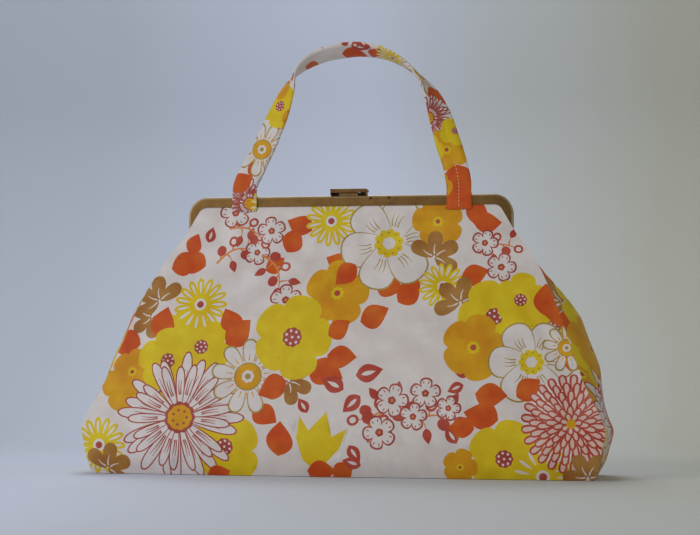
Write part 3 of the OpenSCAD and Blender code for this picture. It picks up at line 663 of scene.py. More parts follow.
@dataclass(frozen=True)
class PlainFinish:
    """Finish with a base colour that wanders towards a second one in two sizes of noise."""

    name: str
    base: tuple[float, float, float]
    second: tuple[float, float, float]
    roughness: tuple[float, float]
    grain: float
    relief: float
    metallic: float = 0.0
    sheen: float = 0.0
    bow: tuple[float, float, float] | None = None
    pits: tuple[tuple[float, float, float], ...] = ()
    # lighter brass for the bow's edge: worn metal and a painted highlight
    worn_highlight: tuple[float, float, float] = linear(196, 176, 140)
    stained: tuple[float, float, float] = linear(52, 38, 22)
    pit_edge: float = 0.0014
    pit_core: float = 0.0005

    def worn_highlight_mask(self, tree: Tree, place: bpy.types.NodeSocket) -> bpy.types.NodeSocket:
        """Masks the top and outer edge of the frame's bow, lightened both where hands have worn the brass and
        as a painted highlight.

        The mask rises where hypot(max(|x| - x0, 0), max(z - z0, 0)) nears the bow's corner radius.

        Args:
            tree: the material.
            place: its Object coordinates.

        Returns:
            The mask.
        """
        x0, z0, radius = self.bow
        steps = (("ABSOLUTE", None), ("SUBTRACT", (x0, 0.0, z0)), ("MAXIMUM", (0.0, 0.0, 0.0)),
                 ("MULTIPLY", (1.0, 0.0, 1.0)), ("LENGTH", None))
        last = place
        for kind, value in steps:
            inputs = {0: last, 1: value} if value else {0: last}
            node = tree.add("VectorMath", inputs, operation=kind)
            last = node.outputs["Value" if kind == "LENGTH" else "Vector"]
        return tree.add("MapRange", {"Value": last, "From Min": radius - 0.0016, "From Max": radius - 0.0004,
                                     "To Max": 0.85}).outputs[0]

    def material(self) -> bpy.types.Material:
        """Builds the material.

        Returns:
            A material on Object coordinates.
        """
        tree = Tree(self.name)
        place = tree.add("TexCoord", {}).outputs["Object"]
        broad = tree.add("TexNoise", {"Vector": place, "Scale": self.grain, "Detail": 6.0, "Roughness": 0.62})
        fine = tree.add("TexNoise", {"Vector": place, "Scale": self.grain * 9.0, "Detail": 3.0})
        ramp = tree.add("ValToRGB", {"Fac": broad.outputs["Fac"]})
        for stop, place_at, tint in zip(ramp.color_ramp.elements, (0.34, 0.68), (self.base, self.second)):
            stop.position, stop.color = place_at, (*tint, 1)
        colour = ramp.outputs["Color"]
        if self.bow:
            # painted highlight and worn brass: the bow's top and outer edge turn lighter
            colour = tree.blended(self.worn_highlight_mask(tree, place), colour, self.worn_highlight)
        for pit in self.pits:
            away = tree.add("VectorMath", {0: place, 1: pit}, operation="DISTANCE")
            near = tree.add("MapRange", {
                "Value": away.outputs["Value"], "From Min": self.pit_edge, "From Max": self.pit_core})
            colour = tree.blended(near.outputs[0], colour, self.stained)
        rough = tree.add("MapRange", {"Value": fine.outputs["Fac"], "From Min": 0.3, "From Max": 0.7,
                                      "To Min": self.roughness[0], "To Max": self.roughness[1]})
        bump = tree.add("Bump", {"Height": fine.outputs["Fac"], "Strength": 0.4, "Distance": self.relief})
        tree.feed(tree.shader, {
            "Metallic": self.metallic, "Sheen Weight": self.sheen, "Base Color": colour,
            "Roughness": rough.outputs[0], "Normal": bump.outputs[0],
        })
        return tree.material


OLD_BRASS = PlainFinish(
    "old_brass", linear(116, 88, 48), linear(156, 122, 72), (0.34, 0.55), 90.0, 0.00012, 0.85)
# its bow's top and outer edge are lighter, as worn brass and as a painted highlight
BOW_BRASS = PlainFinish(
    "bow_brass", linear(116, 86, 46), linear(142, 108, 60), (0.34, 0.55), 90.0, 0.00012, 0.85,
    bow=(0.106, 0.188, 0.014), pits=((0.0165, -0.0059, 0.2000), (0.030, -0.0059, 0.2002)))
TAB_BRASS = PlainFinish(
    "tab_brass", linear(104, 74, 42), linear(138, 102, 62), (0.34, 0.55), 160.0, 0.00008, 0.85)
PLAIN_STEEL = PlainFinish(
    "plain_steel", linear(150, 148, 142), linear(120, 116, 108), (0.3, 0.5), 200.0, 0.00005, 1.0)
LINING = PlainFinish(
    "lining_cloth", linear(226, 214, 190), linear(214, 200, 172), (0.5, 0.7), 30.0, 0.0001, sheen=0.2)
THREAD = PlainFinish("thread", linear(236, 214, 186), linear(224, 196, 160), (0.6, 0.8), 400.0, 0.00002)
BOARD = PlainFinish("board", linear(150, 132, 104), linear(132, 114, 86), (0.8, 0.9), 60.0, 0.0002)


def new_mesh(name: str, points: np.ndarray, faces: Sequence[Sequence[int]]) -> bpy.types.Object:
    """Makes a smooth-shaded mesh object at the origin.

    Args:
        name: the piece's name.
        points: (n, 3) points in metres.
        faces: corner numbers of each face, anticlockwise from outside.

    Returns:
        The linked object.
    """
    mesh = bpy.data.meshes.new(name)
    mesh.from_pydata(points.tolist(), [], [tuple(f) for f in faces])
    mesh.polygons.foreach_set("use_smooth", np.ones(len(mesh.polygons), bool))
    mesh.update()
    obj = bpy.data.objects.new(name, mesh)
    bpy.context.scene.collection.objects.link(obj)
    return obj


def grid_faces(rows: int, cols: int, wrap: bool = False) -> np.ndarray:
    """Quads of a grid whose points are numbered row by row.

    Args:
        rows, cols: points each way.
        wrap: whether the last column meets the first.

    Returns:
        (m, 4) corner numbers.
    """
    r, c = np.meshgrid(np.arange(rows - 1), np.arange(cols if wrap else cols - 1), indexing="ij")
    right = (c + 1) % cols
    quads = [r * cols + c, r * cols + right, (r + 1) * cols + right, (r + 1) * cols + c]
    return np.stack(quads, -1).reshape(-1, 4)


def printed_piece(
    name: str, outline: np.ndarray, pitch: float, motifs: Sequence[Placed], surface: Surface,
    flip: bool = False, fold: np.ndarray = np.empty((0, 2))
) -> tuple[bpy.types.Object, float]:
    """Cuts a piece of printed cloth and lays it on its surface.

    The outline, a grid of points inside it and the motifs' outlines are joined into one triangulation, so
    each triangle lies in one colour. The last motif over a triangle gives its colour.

    Args:
        name: the piece's name.
        outline: (n, 2) outline of the flat piece, anticlockwise.
        pitch: spacing of the grid.
        motifs: the print.
        surface: gives the points in space for the flat x and y.
        flip: whether the surface shows its outer side to a clockwise face.
        fold: (n, 2) points of a line that the triangles' edges follow.

    Returns:
        The object and its flat area.
    """
    low, high = outline.min(0), outline.max(0)
    xs = np.arange(low[0] + pitch / 2, high[0], pitch)
    ys = np.arange(low[1] + pitch / 2, high[1], pitch)
    gx, gy = np.meshgrid(xs, ys)
    gx[::2] += pitch / 2
    grid = np.stack([gx.ravel(), gy.ravel()], 1)
    design = PrintDesign()
    patches = [(ink, anticlockwise(p)) for item in motifs for ink, p in design.draw(item)]
    patches = [
        (ink, p) for ink, p in patches if (p.max(0) > low).all() and (p.min(0) < high).all()
    ]
    rings = [outline] + [p for _, p in patches]
    faces, start = [], 0
    for ring in rings:
        faces.append(list(range(start, start + len(ring))))
        start += len(ring)
    edges = [(start + i, start + i + 1) for i in range(len(fold) - 1)]
    points = [Vector(p) for p in np.concatenate(rings + [fold, grid])]
    flat, _, tris, _, _, origin = delaunay_2d_cdt(points, edges, faces, 0, 1e-7, True)
    flat = np.array([tuple(v) for v in flat])
    kept, inks = [], []
    for tri, owners in zip(tris, origin):
        if 0 in owners:
            top = max(owners)
            kept.append(tri)
            inks.append(patches[top - 1][0].value if top else Ink.GROUND.value)
    kept = np.array(kept)
    used, kept = np.unique(kept, return_inverse=True)
    kept, flat = kept.reshape(-1, 3), flat[used]
    a, b, c = flat[kept[:, 0]], flat[kept[:, 1]], flat[kept[:, 2]]
    signed = ((b - a)[:, 0] * (c - a)[:, 1] - (b - a)[:, 1] * (c - a)[:, 0]) / 2
    turn = (signed < 0) != flip
    kept[turn] = kept[turn][:, ::-1]
    obj = new_mesh(name, surface(flat[:, 0], flat[:, 1]), kept.tolist())
    mesh = obj.data
    corners = np.zeros(len(mesh.loops), np.int32)
    mesh.loops.foreach_get("vertex_index", corners)
    uv = mesh.uv_layers.new(name="cloth")
    uv.data.foreach_set("uv", flat[corners].astype(np.float32).ravel())
    colour = mesh.color_attributes.new("print", "FLOAT_COLOR", "CORNER")
    rgba = np.concatenate([np.array(inks), np.ones((len(inks), 1))], 1)
    colour.data.foreach_set("color", np.repeat(rgba, 3, 0).astype(np.float32).ravel())
    return obj, float(np.abs(signed).sum())


@dataclass
class Shell:
    """The cloth body: half width, half depth and swell at each height."""

    full_half_width: float = 0.184
    full_half_depth: float = 0.052
    top_half_width: float = 0.117396
    top_half_depth: float = 0.006
    gusset_top: float = 0.1632
    panel_swell: float = 0.008
    gusset_swell: float = 0.006
    groove_top: float = 0.1975
    shoulder_rows: tuple[tuple[float, ...], ...] = (
        (0.1567, 0.1342, 0.0098, 0.0053, -0.0030), (0.1632, 0.1300, 0.0080, 0.0050, -0.0060),
        (0.1680, 0.1262, 0.0075, 0.0046, 0.0), (0.1727, 0.1226, 0.0071, 0.0041, 0.0),
        (0.1800, 0.1182, 0.0068, 0.0033, 0.0), (0.1860, 0.1148, 0.0065, 0.0023, 0.0),
        (0.1900, 0.1124, 0.0063, 0.0012, 0.0), (0.1925, 0.1110, 0.0058, 0.0004, 0.0),
        (0.1945, 0.1095, 0.0051, 0.0, 0.0), (0.1975, 0.1055, 0.0050, 0.0, 0.0),
    )
    body_shares: tuple[tuple[float, ...], ...] = (
        (0.00, 0.800, 0.89, 0.30, 0.25), (0.03, 0.822, 0.945, 0.45, 0.45), (0.07, 0.850, 0.99, 0.62, 0.70),
        (0.13, 0.876, 1.00, 0.78, 0.93), (0.20, 0.909, 0.97, 0.90, 1.00), (0.26, 0.864, 0.92, 0.97, 0.93),
        (0.33, 0.790, 0.85, 1.00, 0.78), (0.41, 0.705, 0.77, 1.00, 0.63), (0.50, 0.640, 0.675, 1.00, 0.50),
        (0.60, 0.562, 0.57, 0.95, 0.32), (0.70, 0.490, 0.45, 0.90, 0.15), (0.80, 0.400, 0.32, 0.84, 0.00),
        (0.90, 0.302, 0.17, 0.74, -0.10), (0.96, 0.145, 0.07, 0.66, -0.10), (1.00, 0.000, 0.00, 0.60, 0.00),
    )
    rows: np.ndarray = field(init=False)

    def __post_init__(self) -> None:
        """Works out the rows: height, half width, half depth, swell of the panels, swell of the gussets."""
        s = np.array(self.body_shares)
        body = np.stack([
            s[:, 0] * self.gusset_top,
            self.top_half_width + s[:, 1] / s[:, 1].max() * (self.full_half_width - self.top_half_width),
            self.top_half_depth + s[:, 2] * (self.full_half_depth - self.top_half_depth),
            s[:, 3] * self.panel_swell,
            s[:, 4] * self.gusset_swell,
        ], 1)
        self.rows = np.concatenate([body[:-2], np.array(self.shoulder_rows)])

    def read(self, z: np.ndarray, column: int) -> np.ndarray:
        """Reads one column of the rows at heights z."""
        return smooth_lookup(z, self.rows[:, 0], self.rows[:, column])

    def half_width(self, z: np.ndarray) -> np.ndarray:
        """Half width between the seams at heights z."""
        return self.read(z, 1)

    def half_depth(self, z: np.ndarray) -> np.ndarray:
        """Half depth between the seams at heights z."""
        return self.read(z, 2)

    def creases(self, x: np.ndarray, z: np.ndarray, side: int) -> np.ndarray:
        """Depth of the cloth's folds: each is a Gaussian across its line and fades towards both ends.

        Args:
            x, z: places on the panel.
            side: -1 for the front, 1 for the back.

        Returns:
            How far the cloth stands out there.
        """
        lines = (
            (0.122, 0.132, 0.170, 0.060, 0.0055, -0.0028), (0.128, 0.130, 0.176, 0.060, 0.0045, 0.0016),
            (-0.160, 0.066, -0.186, 0.046, 0.0060, -0.0022), (-0.150, 0.060, -0.186, 0.036, 0.0060, 0.0012),
            (-0.098, 0.168, -0.140, 0.110, 0.0080, -0.0012), (0.060, 0.010, 0.130, 0.020, 0.0120, -0.0016),
            (-0.120, 0.014, -0.020, 0.008, 0.0120, -0.0014), (-0.040, 0.176, -0.052, 0.130, 0.0070, -0.0008),
            (0.052, 0.176, 0.070, 0.125, 0.0080, -0.0009), (0.096, 0.170, 0.118, 0.140, 0.0050, -0.0012),
            (0.150, 0.030, 0.182, 0.044, 0.0070, -0.0018), (0.040, 0.184, 0.047, 0.176, 0.0045, -0.0014),
        )
        out = np.zeros_like(x)
        for x0, z0, x1, z1, wide, deep in lines:
            ax, az, bx, bz = x0 * -side, z0, x1 * -side, z1
            if side > 0:
                az, bz = z0 * 0.96, z1 * 0.92
            dx, dz = bx - ax, bz - az
            length2 = dx * dx + dz * dz
            t = ((x - ax) * dx + (z - az) * dz) / length2
            off2 = (x - ax - np.clip(t, 0, 1) * dx) ** 2 + (z - az - np.clip(t, 0, 1) * dz) ** 2
            ends = smooth_step(t, -0.15, 0.2) * (1 - smooth_step(t, 0.75, 1.15))
            out += deep * np.exp(-off2 / wide**2) * ends
        out += 0.0007 * np.sin(31 * x + 2.0 * np.sin(17 * z + side)) * np.sin(24 * z + 1.3 + side)
        out += 0.0005 * np.sin(74 * x + 40 * z + side) * smooth_step(z, 0.02, 0.10)
        out += 0.0008 * np.sin(290 * x + 2.6 * np.sin(47 * x) + side) * smooth_step(z, 0.142, 0.172) * (
            0.35 + 0.65 * np.sin(23 * x + 0.7) ** 2)
        return out * (1 - smooth_step(z, 0.180, 0.191)) * smooth_step(z, -0.002, 0.012)

    def pucker(self, z: np.ndarray, off: np.ndarray) -> np.ndarray:
        """Small gathers that the seam's thread draws into the cloth: a wave along it, fading off * exp(-off).

        Args:
            z: heights.
            off: distances from the seam.

        Returns:
            How far the cloth stands out there.
        """
        wave = np.sin(640 * z + 2.0 * np.sin(90 * z)) * (0.6 + 0.4 * np.sin(37 * z + 1))
        near = off / 0.006 * np.exp(1 - off / 0.006)
        return 0.0006 * wave * near * smooth_step(z, 0.015, 0.04) * (1 - smooth_step(z, 0.140, 0.160))

    def panel(self, side: int) -> Surface:
        """Surface of the front or back panel over flat x and height.

        The cloth stands out from the seam's depth by its swell times 1 - |u|^2.5, u running from -1 to 1
        between the seams, plus its folds.

        Args:
            side: -1 for the front, 1 for the back.

        Returns:
            The surface.
        """
        def surface(x: np.ndarray, z: np.ndarray) -> np.ndarray:
            """Points of the panel."""
            w = self.half_width(z)
            u = np.clip(x / w, -1, 1)
            fill = 1 - np.abs(u) ** 2.5
            out = self.half_depth(z) + self.read(z, 3) * fill
            out = out + self.creases(x, z, side) * np.clip(1 - np.abs(u) ** 8, 0, 1)
            out = out + self.pucker(z, (1 - np.abs(u)) * w)
            return np.stack([x, side * out, z], 1)

        return surface

    def gusset(self, side: int) -> Surface:
        """Surface of a gusset over flat y and height, folded in lightly down its middle near the top.

        Args:
            side: -1 for the left, 1 for the right.

        Returns:
            The surface.
        """
        def surface(y: np.ndarray, z: np.ndarray) -> np.ndarray:
            """Points of the gusset."""
            v = np.clip(y / self.half_depth(z), -1, 1)
            out = self.half_width(z) + self.read(z, 4) * (1 - v * v)
            full = smooth_step(z, 0.038, 0.080) * (1 - smooth_step(z, 0.118, 0.158))
            out = out + (0.0125 if side > 0 else 0.0060) * full * (1 - v * v) ** 0.8
            fold = 0.0045 * smooth_step(z, 0.11, 0.135) * (1 - smooth_step(z, 0.15, 0.163))
            out = out - fold * np.exp(-((v / 0.30) ** 2))
            out = out + 0.0006 * np.sin(60 * z + side) * np.sin(50 * y + 1.0) * (1 - v * v)
            out = out + self.pucker(z, (1 - np.abs(v)) * self.half_depth(z))
            return np.stack([side * out, y, z], 1)

        return surface

    def outline(self, top: float, column: int, step: float = 0.003) -> np.ndarray:
        """Outline of the flat panel or gusset, anticlockwise.

        Args:
            top: height of its upper edge.
            column: 1 for a panel, 2 for a gusset.
            step: spacing of its points.

        Returns:
            (n, 2) points.
        """
        z = np.linspace(0, top, int(top / step))
        w = self.read(z, column)
        across = np.linspace(-1, 1, int(2 * w[0] / step))[1:-1]
        cap = np.linspace(1, -1, max(int(2 * w[-1] / step), 4))[1:-1]
        return np.concatenate([
            np.stack([across * w[0], np.zeros_like(across)], 1),
            np.stack([w, z], 1),
            np.stack([cap * w[-1], np.full_like(cap, top)], 1),
            np.stack([-w, z], 1)[::-1],
        ])


@dataclass(frozen=True)
class TablePaper:
    """Matt pale paper with painted light on it: a painted pool of light makes it palest in the middle, and
    painted light makes it bluer on its left than on its right, with a faint mottle.
    """

    # painted light: these three tones stand for how the room's light falls across the table
    left: tuple[float, float, float] = linear(197, 205, 217)
    middle: tuple[float, float, float] = linear(218, 225, 243)
    right: tuple[float, float, float] = linear(198, 199, 186)
    centre: float = -0.05
    reach: float = 0.42

    def material(self) -> bpy.types.Material:
        """Builds the material.

        Returns:
            A material whose colour, painted light, runs across along the paper's own X.
        """
        tree = Tree("table_paper")
        place = tree.add("TexCoord", {}).outputs["Object"]
        split = tree.add("SeparateXYZ", {0: place})
        mottle = tree.add("TexNoise", {"Vector": place, "Scale": 3.0})
        spread = tree.add("Math", {0: mottle.outputs["Fac"], 1: 0.2, 2: split.outputs["X"]},
                          operation="MULTIPLY_ADD")
        across = tree.add("MapRange", {"Value": spread.outputs[0], "From Min": self.centre - self.reach,
                                       "From Max": self.centre + self.reach})
        ramp = tree.add("ValToRGB", {"Fac": across.outputs[0]})
        stops = ramp.color_ramp.elements
        stops.new(0.5)
        for stop, colour in zip(stops, (self.left, self.middle, self.right)):
            stop.color = (*colour, 1)
        tree.feed(tree.shader, {"Roughness": 0.85, "Base Color": ramp.outputs[0]})
        return tree.material


@dataclass
class ClothBody:
    """The printed panels, gussets and base, and the lining.

    A swell is how much longer the curved cloth is than its height, an ease how much larger its area is than
    that of its outline.
    """

    shell: Shell
    cloth: bpy.types.Material
    lining: bpy.types.Material
    pitch: float = 0.0035
    bend_low: float = 0.166
    bend_high: float = 0.178
    panel_swell: float = 1.06
    panel_ease: float = 1.03
    gusset_swell: float = 1.12
    gusset_ease: float = 1.08

    def printed(self, name: str, column: int, top: float, motifs: Sequence[Placed], surface: Surface,
                flip: bool) -> tuple[bpy.types.Object, float]:
        """Cuts one printed piece and gives it its cloth."""
        obj, area = printed_piece(name, self.shell.outline(top, column), self.pitch, motifs, surface, flip)
        obj.data.materials.append(self.cloth)
        return obj, area

    def build_panels(self) -> list[bpy.types.Object]:
        """Makes the front and back panels, each reaching from the bag up to its own half of the frame.

        Returns:
            The two pieces.
        """
        made = []
        top = self.shell.groove_top
        back = tuple(Placed(p.kind, 24 - p.x, p.y, p.size, 40 - p.angle) for p in FRONT_PRINT)
        fields = ("yellow", "gold", "orange", "brick", "tan")
        for name, side, motifs, frame_body, nodes in (
            ("front_cloth", -1, FRONT_PRINT, "front_frame", ("front_panel", "front_hem")),
            ("back_cloth", 1, back, "rear_frame", ("back_panel", "rear_hem")),
        ):
            nodes += tuple(f"{name.split('_')[0]}_{ink}_print" for ink in fields)
            obj, area = self.printed(name, 1, top, motifs, self.shell.panel(side), side > 0)
            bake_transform(obj)
            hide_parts(*nodes)
            made.append(obj)
        return made

    def build_gussets(self) -> list[bpy.types.Object]:
        """Makes the two side gussets on the bag."""
        made = []
        motifs = tuple(Placed(p.kind, p.x * 0.9 - 96 * (1 if p.x > 0 else -1), p.y, p.size, p.angle)
                       for p in FRONT_PRINT if abs(p.x) > 70)
        for name, side in (("left_gusset_cloth", -1), ("right_gusset_cloth", 1)):
            surface = self.shell.gusset(side)
            obj, area = self.printed(name, 2, self.shell.gusset_top, motifs, surface, side < 0)
            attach(obj, "bag")
            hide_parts("left_gusset" if side < 0 else "right_gusset")
            made.append(obj)
        return made

    def build_base(self) -> bpy.types.Object:
        """Makes the cloth under the base, in the outline of the shell's foot."""
        shell = self.shell
        w, d = shell.half_width(np.zeros(1))[0], shell.half_depth(np.zeros(1))[0]
        u = np.linspace(-1, 1, 90)
        front = np.stack([u * w, -(d + shell.rows[0, 3] * (1 - np.abs(u) ** 2.5))], 1)
        v = np.linspace(-1, 1, 24)[1:-1]
        right = np.stack([w + shell.rows[0, 4] * (1 - v * v), v * d], 1)
        outline = np.concatenate([front, right, -front, -right])

        def surface(x: np.ndarray, y: np.ndarray) -> np.ndarray:
            """Points of the base, lifted a hair above the table in its middle."""
            lift = 0.0004 + 0.0005 * (1 - (x / w) ** 2).clip(0) * (1 - (y / d) ** 2).clip(0)
            return np.stack([x, y, lift], 1)

        motifs = tuple(Placed(p.kind, p.x, p.y - 60, p.size, p.angle) for p in FRONT_PRINT if p.y < 130)
        obj, area = printed_piece("base_cloth", outline, 0.006, motifs, surface, True)
        obj.data.materials.append(self.cloth)
        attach(obj, "bag")
        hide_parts("base_panel")
        return obj

    def build_lining(self) -> list[bpy.types.Object]:
        """Makes the two halves of the lining, each a shell one and a half millimetres inside the cloth.

        Returns:
            The front and the rear half.
        """
        shell, inset, floor = self.shell, 0.0016, 0.0039
        z = np.concatenate([np.full(9, floor), np.linspace(floor, shell.groove_top - 0.003, 70)])
        shrink = np.concatenate([np.linspace(0.0, 1.0, 10)[:-1], np.ones(70)])
        t = np.linspace(-1, 1, 121)
        made = []
        for name, side, frame_body in (("front_lining", -1, "front_frame"), ("rear_lining", 1, "rear_frame")):
            zz, tt = np.meshgrid(z, t, indexing="ij")
            ss = np.repeat(shrink[:, None], len(t), 1)
            w = shell.half_width(zz) - inset
            d = shell.half_depth(zz) - inset
            share = 0.16
            on_panel = np.abs(tt) <= 1 - share
            u = np.clip(tt / (1 - share), -1, 1)
            v = 1 - np.clip((np.abs(tt) - 1 + share) / share, 0, 1)
            x = np.where(on_panel, u * w, np.sign(tt) * (w + shell.read(zz, 4) * (1 - v * v)))
            deep = d + shell.read(zz, 3) * (1 - np.abs(u) ** 2.5) * on_panel
            y = side * np.where(on_panel, deep, v * d)
            ripple = 0.0006 * np.sin(90 * x + 3 * np.sin(30 * zz)) * (1 - smooth_step(zz, 0.165, 0.18))
            y = y - side * np.abs(ripple)
            points = np.stack([x * ss, y * ss, zz], -1).reshape(-1, 3)
            quads = grid_faces(len(z), len(t))
            if side < 0:
                quads = quads[:, ::-1]
            obj = new_mesh(name, points, quads.tolist())
            obj.data.materials.append(self.lining)
            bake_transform(obj)
            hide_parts("lining")
            a, b, c, d = (points[quads[:, k]] for k in range(4))
            made.append(obj)
        return made


@dataclass
class Handle:
    """The flat cloth handle and the loops that hold it to the front bar."""

    cloth: bpy.types.Material
    half_span: float = 0.080
    rise: float = 0.1066
    swing_y: float = -0.0068
    swing_z: float = 0.2046
    width: float = 0.0183
    thick: float = 0.003
    end_thick: float = 0.0014
    fold_z: float = 0.1909
    left_x: float = -0.0775
    right_x: float = 0.081
    stitch_count: int = 13
    stitch_pitch: float = 0.0026
    stitch_length: float = 0.0018
    route_shares: tuple[tuple[float, float], ...] = (
        (-0.969, 0.000), (-0.962, 0.060), (-0.890, 0.175), (-0.812, 0.295), (-0.694, 0.501), (-0.590, 0.700),
        (-0.520, 0.825), (-0.400, 0.915), (-0.213, 0.975), (0.040, 1.000), (0.270, 0.978), (0.480, 0.905),
        (0.662, 0.782), (0.775, 0.650), (0.850, 0.490), (0.913, 0.332), (0.975, 0.185), (1.009, 0.060),
        (1.0125, 0.000),
    )
    turn_shares: tuple[tuple[float, float], ...] = (
        (0.00, 0.00), (0.05, 0.03), (0.12, 0.12), (0.20, 0.22), (0.27, 0.42), (0.31, 0.70), (0.345, 1.00),
        (0.40, 1.20), (0.48, 1.27), (0.55, 1.22), (0.62, 1.08), (0.67, 0.98), (0.71, 0.80), (0.76, 0.52),
        (0.82, 0.26), (0.90, 0.10), (1.00, 0.00),
    )

    def route(self, steps: int = 9) -> np.ndarray:
        """Middle line of the strap in the XZ plane: a Catmull-Rom curve through its points."""
        p = np.array(self.route_shares) * [self.half_span, self.rise]
        p = p + [0, self.swing_z]
        p = np.concatenate([p[:1], p, p[-1:]])
        out = []
        for i in range(1, len(p) - 2):
            t = np.linspace(0, 1, steps, endpoint=False)[:, None]
            a, b, c, d = p[i - 1], p[i], p[i + 1], p[i + 2]
            out.append(0.5 * (2 * b + (c - a) * t + (2 * a - 5 * b + 4 * c - d) * t * t
                              + (3 * b - a - 3 * c + d) * t**3))
        out.append(p[-1:])
        heights = np.linspace(self.fold_z, self.swing_z, 8, endpoint=False)
        left = np.stack([np.full(8, out[0][0, 0]), heights], 1)
        right = np.stack([np.full(8, p[-1, 0]), np.linspace(self.swing_z, self.fold_z, 9)[1:]], 1)
        return np.concatenate([left, *out, right])

    def build(self) -> list[bpy.types.Object]:
        loops = self.build_loops()
        strap, stitches, total, area = self.build_strap()
        return [strap, stitches, *loops]

    def build_strap(self) -> tuple[bpy.types.Object, bpy.types.Object, float, float]:
        """Makes the strap as one closed tube of flat oval section, from fold to fold.

        Across the section the flat coordinate g runs from 0 to 1 round the strap: on the face a = 4g - 1,
        on the reverse a = 3 - 4g, and the height over the middle is the root of 1 - |a|^5.

        Returns:
            The piece, the stitches on its right end, and the strap's flat length and area.
        """
        line = self.route()
        seg = np.linalg.norm(np.diff(line, axis=0), axis=1)
        length = np.concatenate([[0], np.cumsum(seg)])
        total = length[-1]
        way = np.gradient(line, length, axis=0)
        way /= np.linalg.norm(way, axis=1, keepdims=True)
        plain = self.swing_z - self.fold_z
        s_route = np.clip((length - plain) / (total - 2 * plain), 0, 1)
        turn = np.array(self.turn_shares)
        angle = np.radians(90 * smooth_lookup(s_route, turn[:, 0], turn[:, 1]))
        arch = self.swing_y + self.thick * np.sin(np.pi * s_route)
        from_end = np.minimum(length, total - length)
        full = smooth_step(from_end, plain, plain + 0.012)
        half_t = (self.end_thick + (self.thick - self.end_thick) * full) / 2
        girth = 2 * self.width

        def at(values: np.ndarray, s: np.ndarray) -> np.ndarray:
            """Reads a curve of the strap at distances s."""
            return np.interp(s, length, values)

        def surface(s: np.ndarray, g: np.ndarray) -> np.ndarray:
            """Points of the strap at distance s along it and g across its cut."""
            g = g / girth
            a = np.where(g < 0.5, 4 * g - 1, 3 - 4 * g)
            b = np.where(g < 0.5, 1, -1) * np.sqrt(np.clip(1 - np.abs(a) ** 5, 0, 1))
            b = b * (1 - 0.16 * np.exp(-((a / 0.12) ** 2)) * (g < 0.5))
            wx, wz = at(way[:, 0], s), at(way[:, 1], s)
            norm = np.hypot(wx, wz)
            wx, wz = wx / norm, wz / norm
            ang = at(angle, s)
            out = np.stack([-wz, np.zeros_like(wx), wx], 1)
            face = np.cos(ang)[:, None] * np.array([0.0, -1.0, 0.0]) + np.sin(ang)[:, None] * out
            along = np.stack([wx, np.zeros_like(wx), wz], 1)
            wide = np.cross(along, face)
            centre = np.stack([at(line[:, 0], s), at(arch, s), at(line[:, 1], s)], 1)
            wave = 1 + 0.015 * np.sin(260 * s) + 0.01 * np.sin(97 * s + 1)
            return centre + (a * wave * self.width / 2)[:, None] * wide + (b * at(half_t, s))[:, None] * face

        steps = int(total / 0.0022)
        s = np.linspace(0, total, steps)
        g = np.linspace(0, girth, 30)
        outline = np.concatenate([
            np.stack([s, np.zeros_like(s)], 1), np.stack([np.full(28, total), g[1:-1]], 1),
            np.stack([s, np.full_like(s, girth)], 1)[::-1], np.stack([np.zeros(28), g[1:-1]], 1)[::-1],
        ])
        fold = np.stack([s[1:-1], np.full(steps - 2, self.width)], 1)
        obj, area = printed_piece("strap", outline, girth / 15, STRAP_PRINT, surface, False, fold)
        obj.data.materials.append(self.cloth)
        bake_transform(obj)
        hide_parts("handle_strap")
        foot = total - np.arange(self.stitch_count) * self.stitch_pitch - 0.0024
        tip = foot - self.stitch_length
        middle = np.full_like(foot, self.width / 2)
        stitches = self.build_stitches(surface(foot, middle), surface(tip, middle))
        return obj, stitches, float(total), area

    def build_stitches(self, foot: np.ndarray, tip: np.ndarray) -> bpy.types.Object:
        """Makes a row of stitches: each an ellipsoid about its line, half sunk in the cloth.

        Args:
            foot, tip: (n, 3) ends of the stitches.

        Returns:
            The piece.
        """
        rings, sides = 5, 8
        lat = np.linspace(-np.pi / 2, np.pi / 2, rings + 2)[1:-1]
        lon = np.arange(sides) / sides * 2 * np.pi
        along = np.repeat(np.sin(lat), sides)
        across = np.outer(np.cos(lat), np.cos(lon)).ravel()
        out = np.outer(np.cos(lat), np.sin(lon)).ravel()
        unit = np.stack([np.append(along, [-1, 1]), np.append(across, [0, 0]), np.append(out, [0, 0])], 1)
        half = (tip - foot) / 2
        wide = np.cross(half, [0.0, -1.0, 0.0])
        wide *= 0.00028 / np.linalg.norm(wide, axis=1, keepdims=True)
        points = ((foot + tip) / 2)[:, None] + unit[:, :1] * half[:, None] + unit[:, 1:2] * wide[:, None]
        points = points + unit[:, 2:] * np.array([0.0, -0.00022, 0.0])
        body = grid_faces(rings, sides, True)
        k = np.arange(sides)
        south = np.stack([np.full(sides, rings * sides), (k + 1) % sides, k], 1)
        north = np.stack([np.full(sides, rings * sides + 1), (rings - 1) * sides + k,
                          (rings - 1) * sides + (k + 1) % sides], 1)
        one = body.tolist() + south.tolist() + north.tolist()
        step = len(unit)
        faces = [[c + step * i for c in f] for i in range(len(foot)) for f in one]
        obj = new_mesh("right_stitches", points.reshape(-1, 3), faces)
        obj.data.materials.append(THREAD.material())
        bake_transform(obj)
        return obj

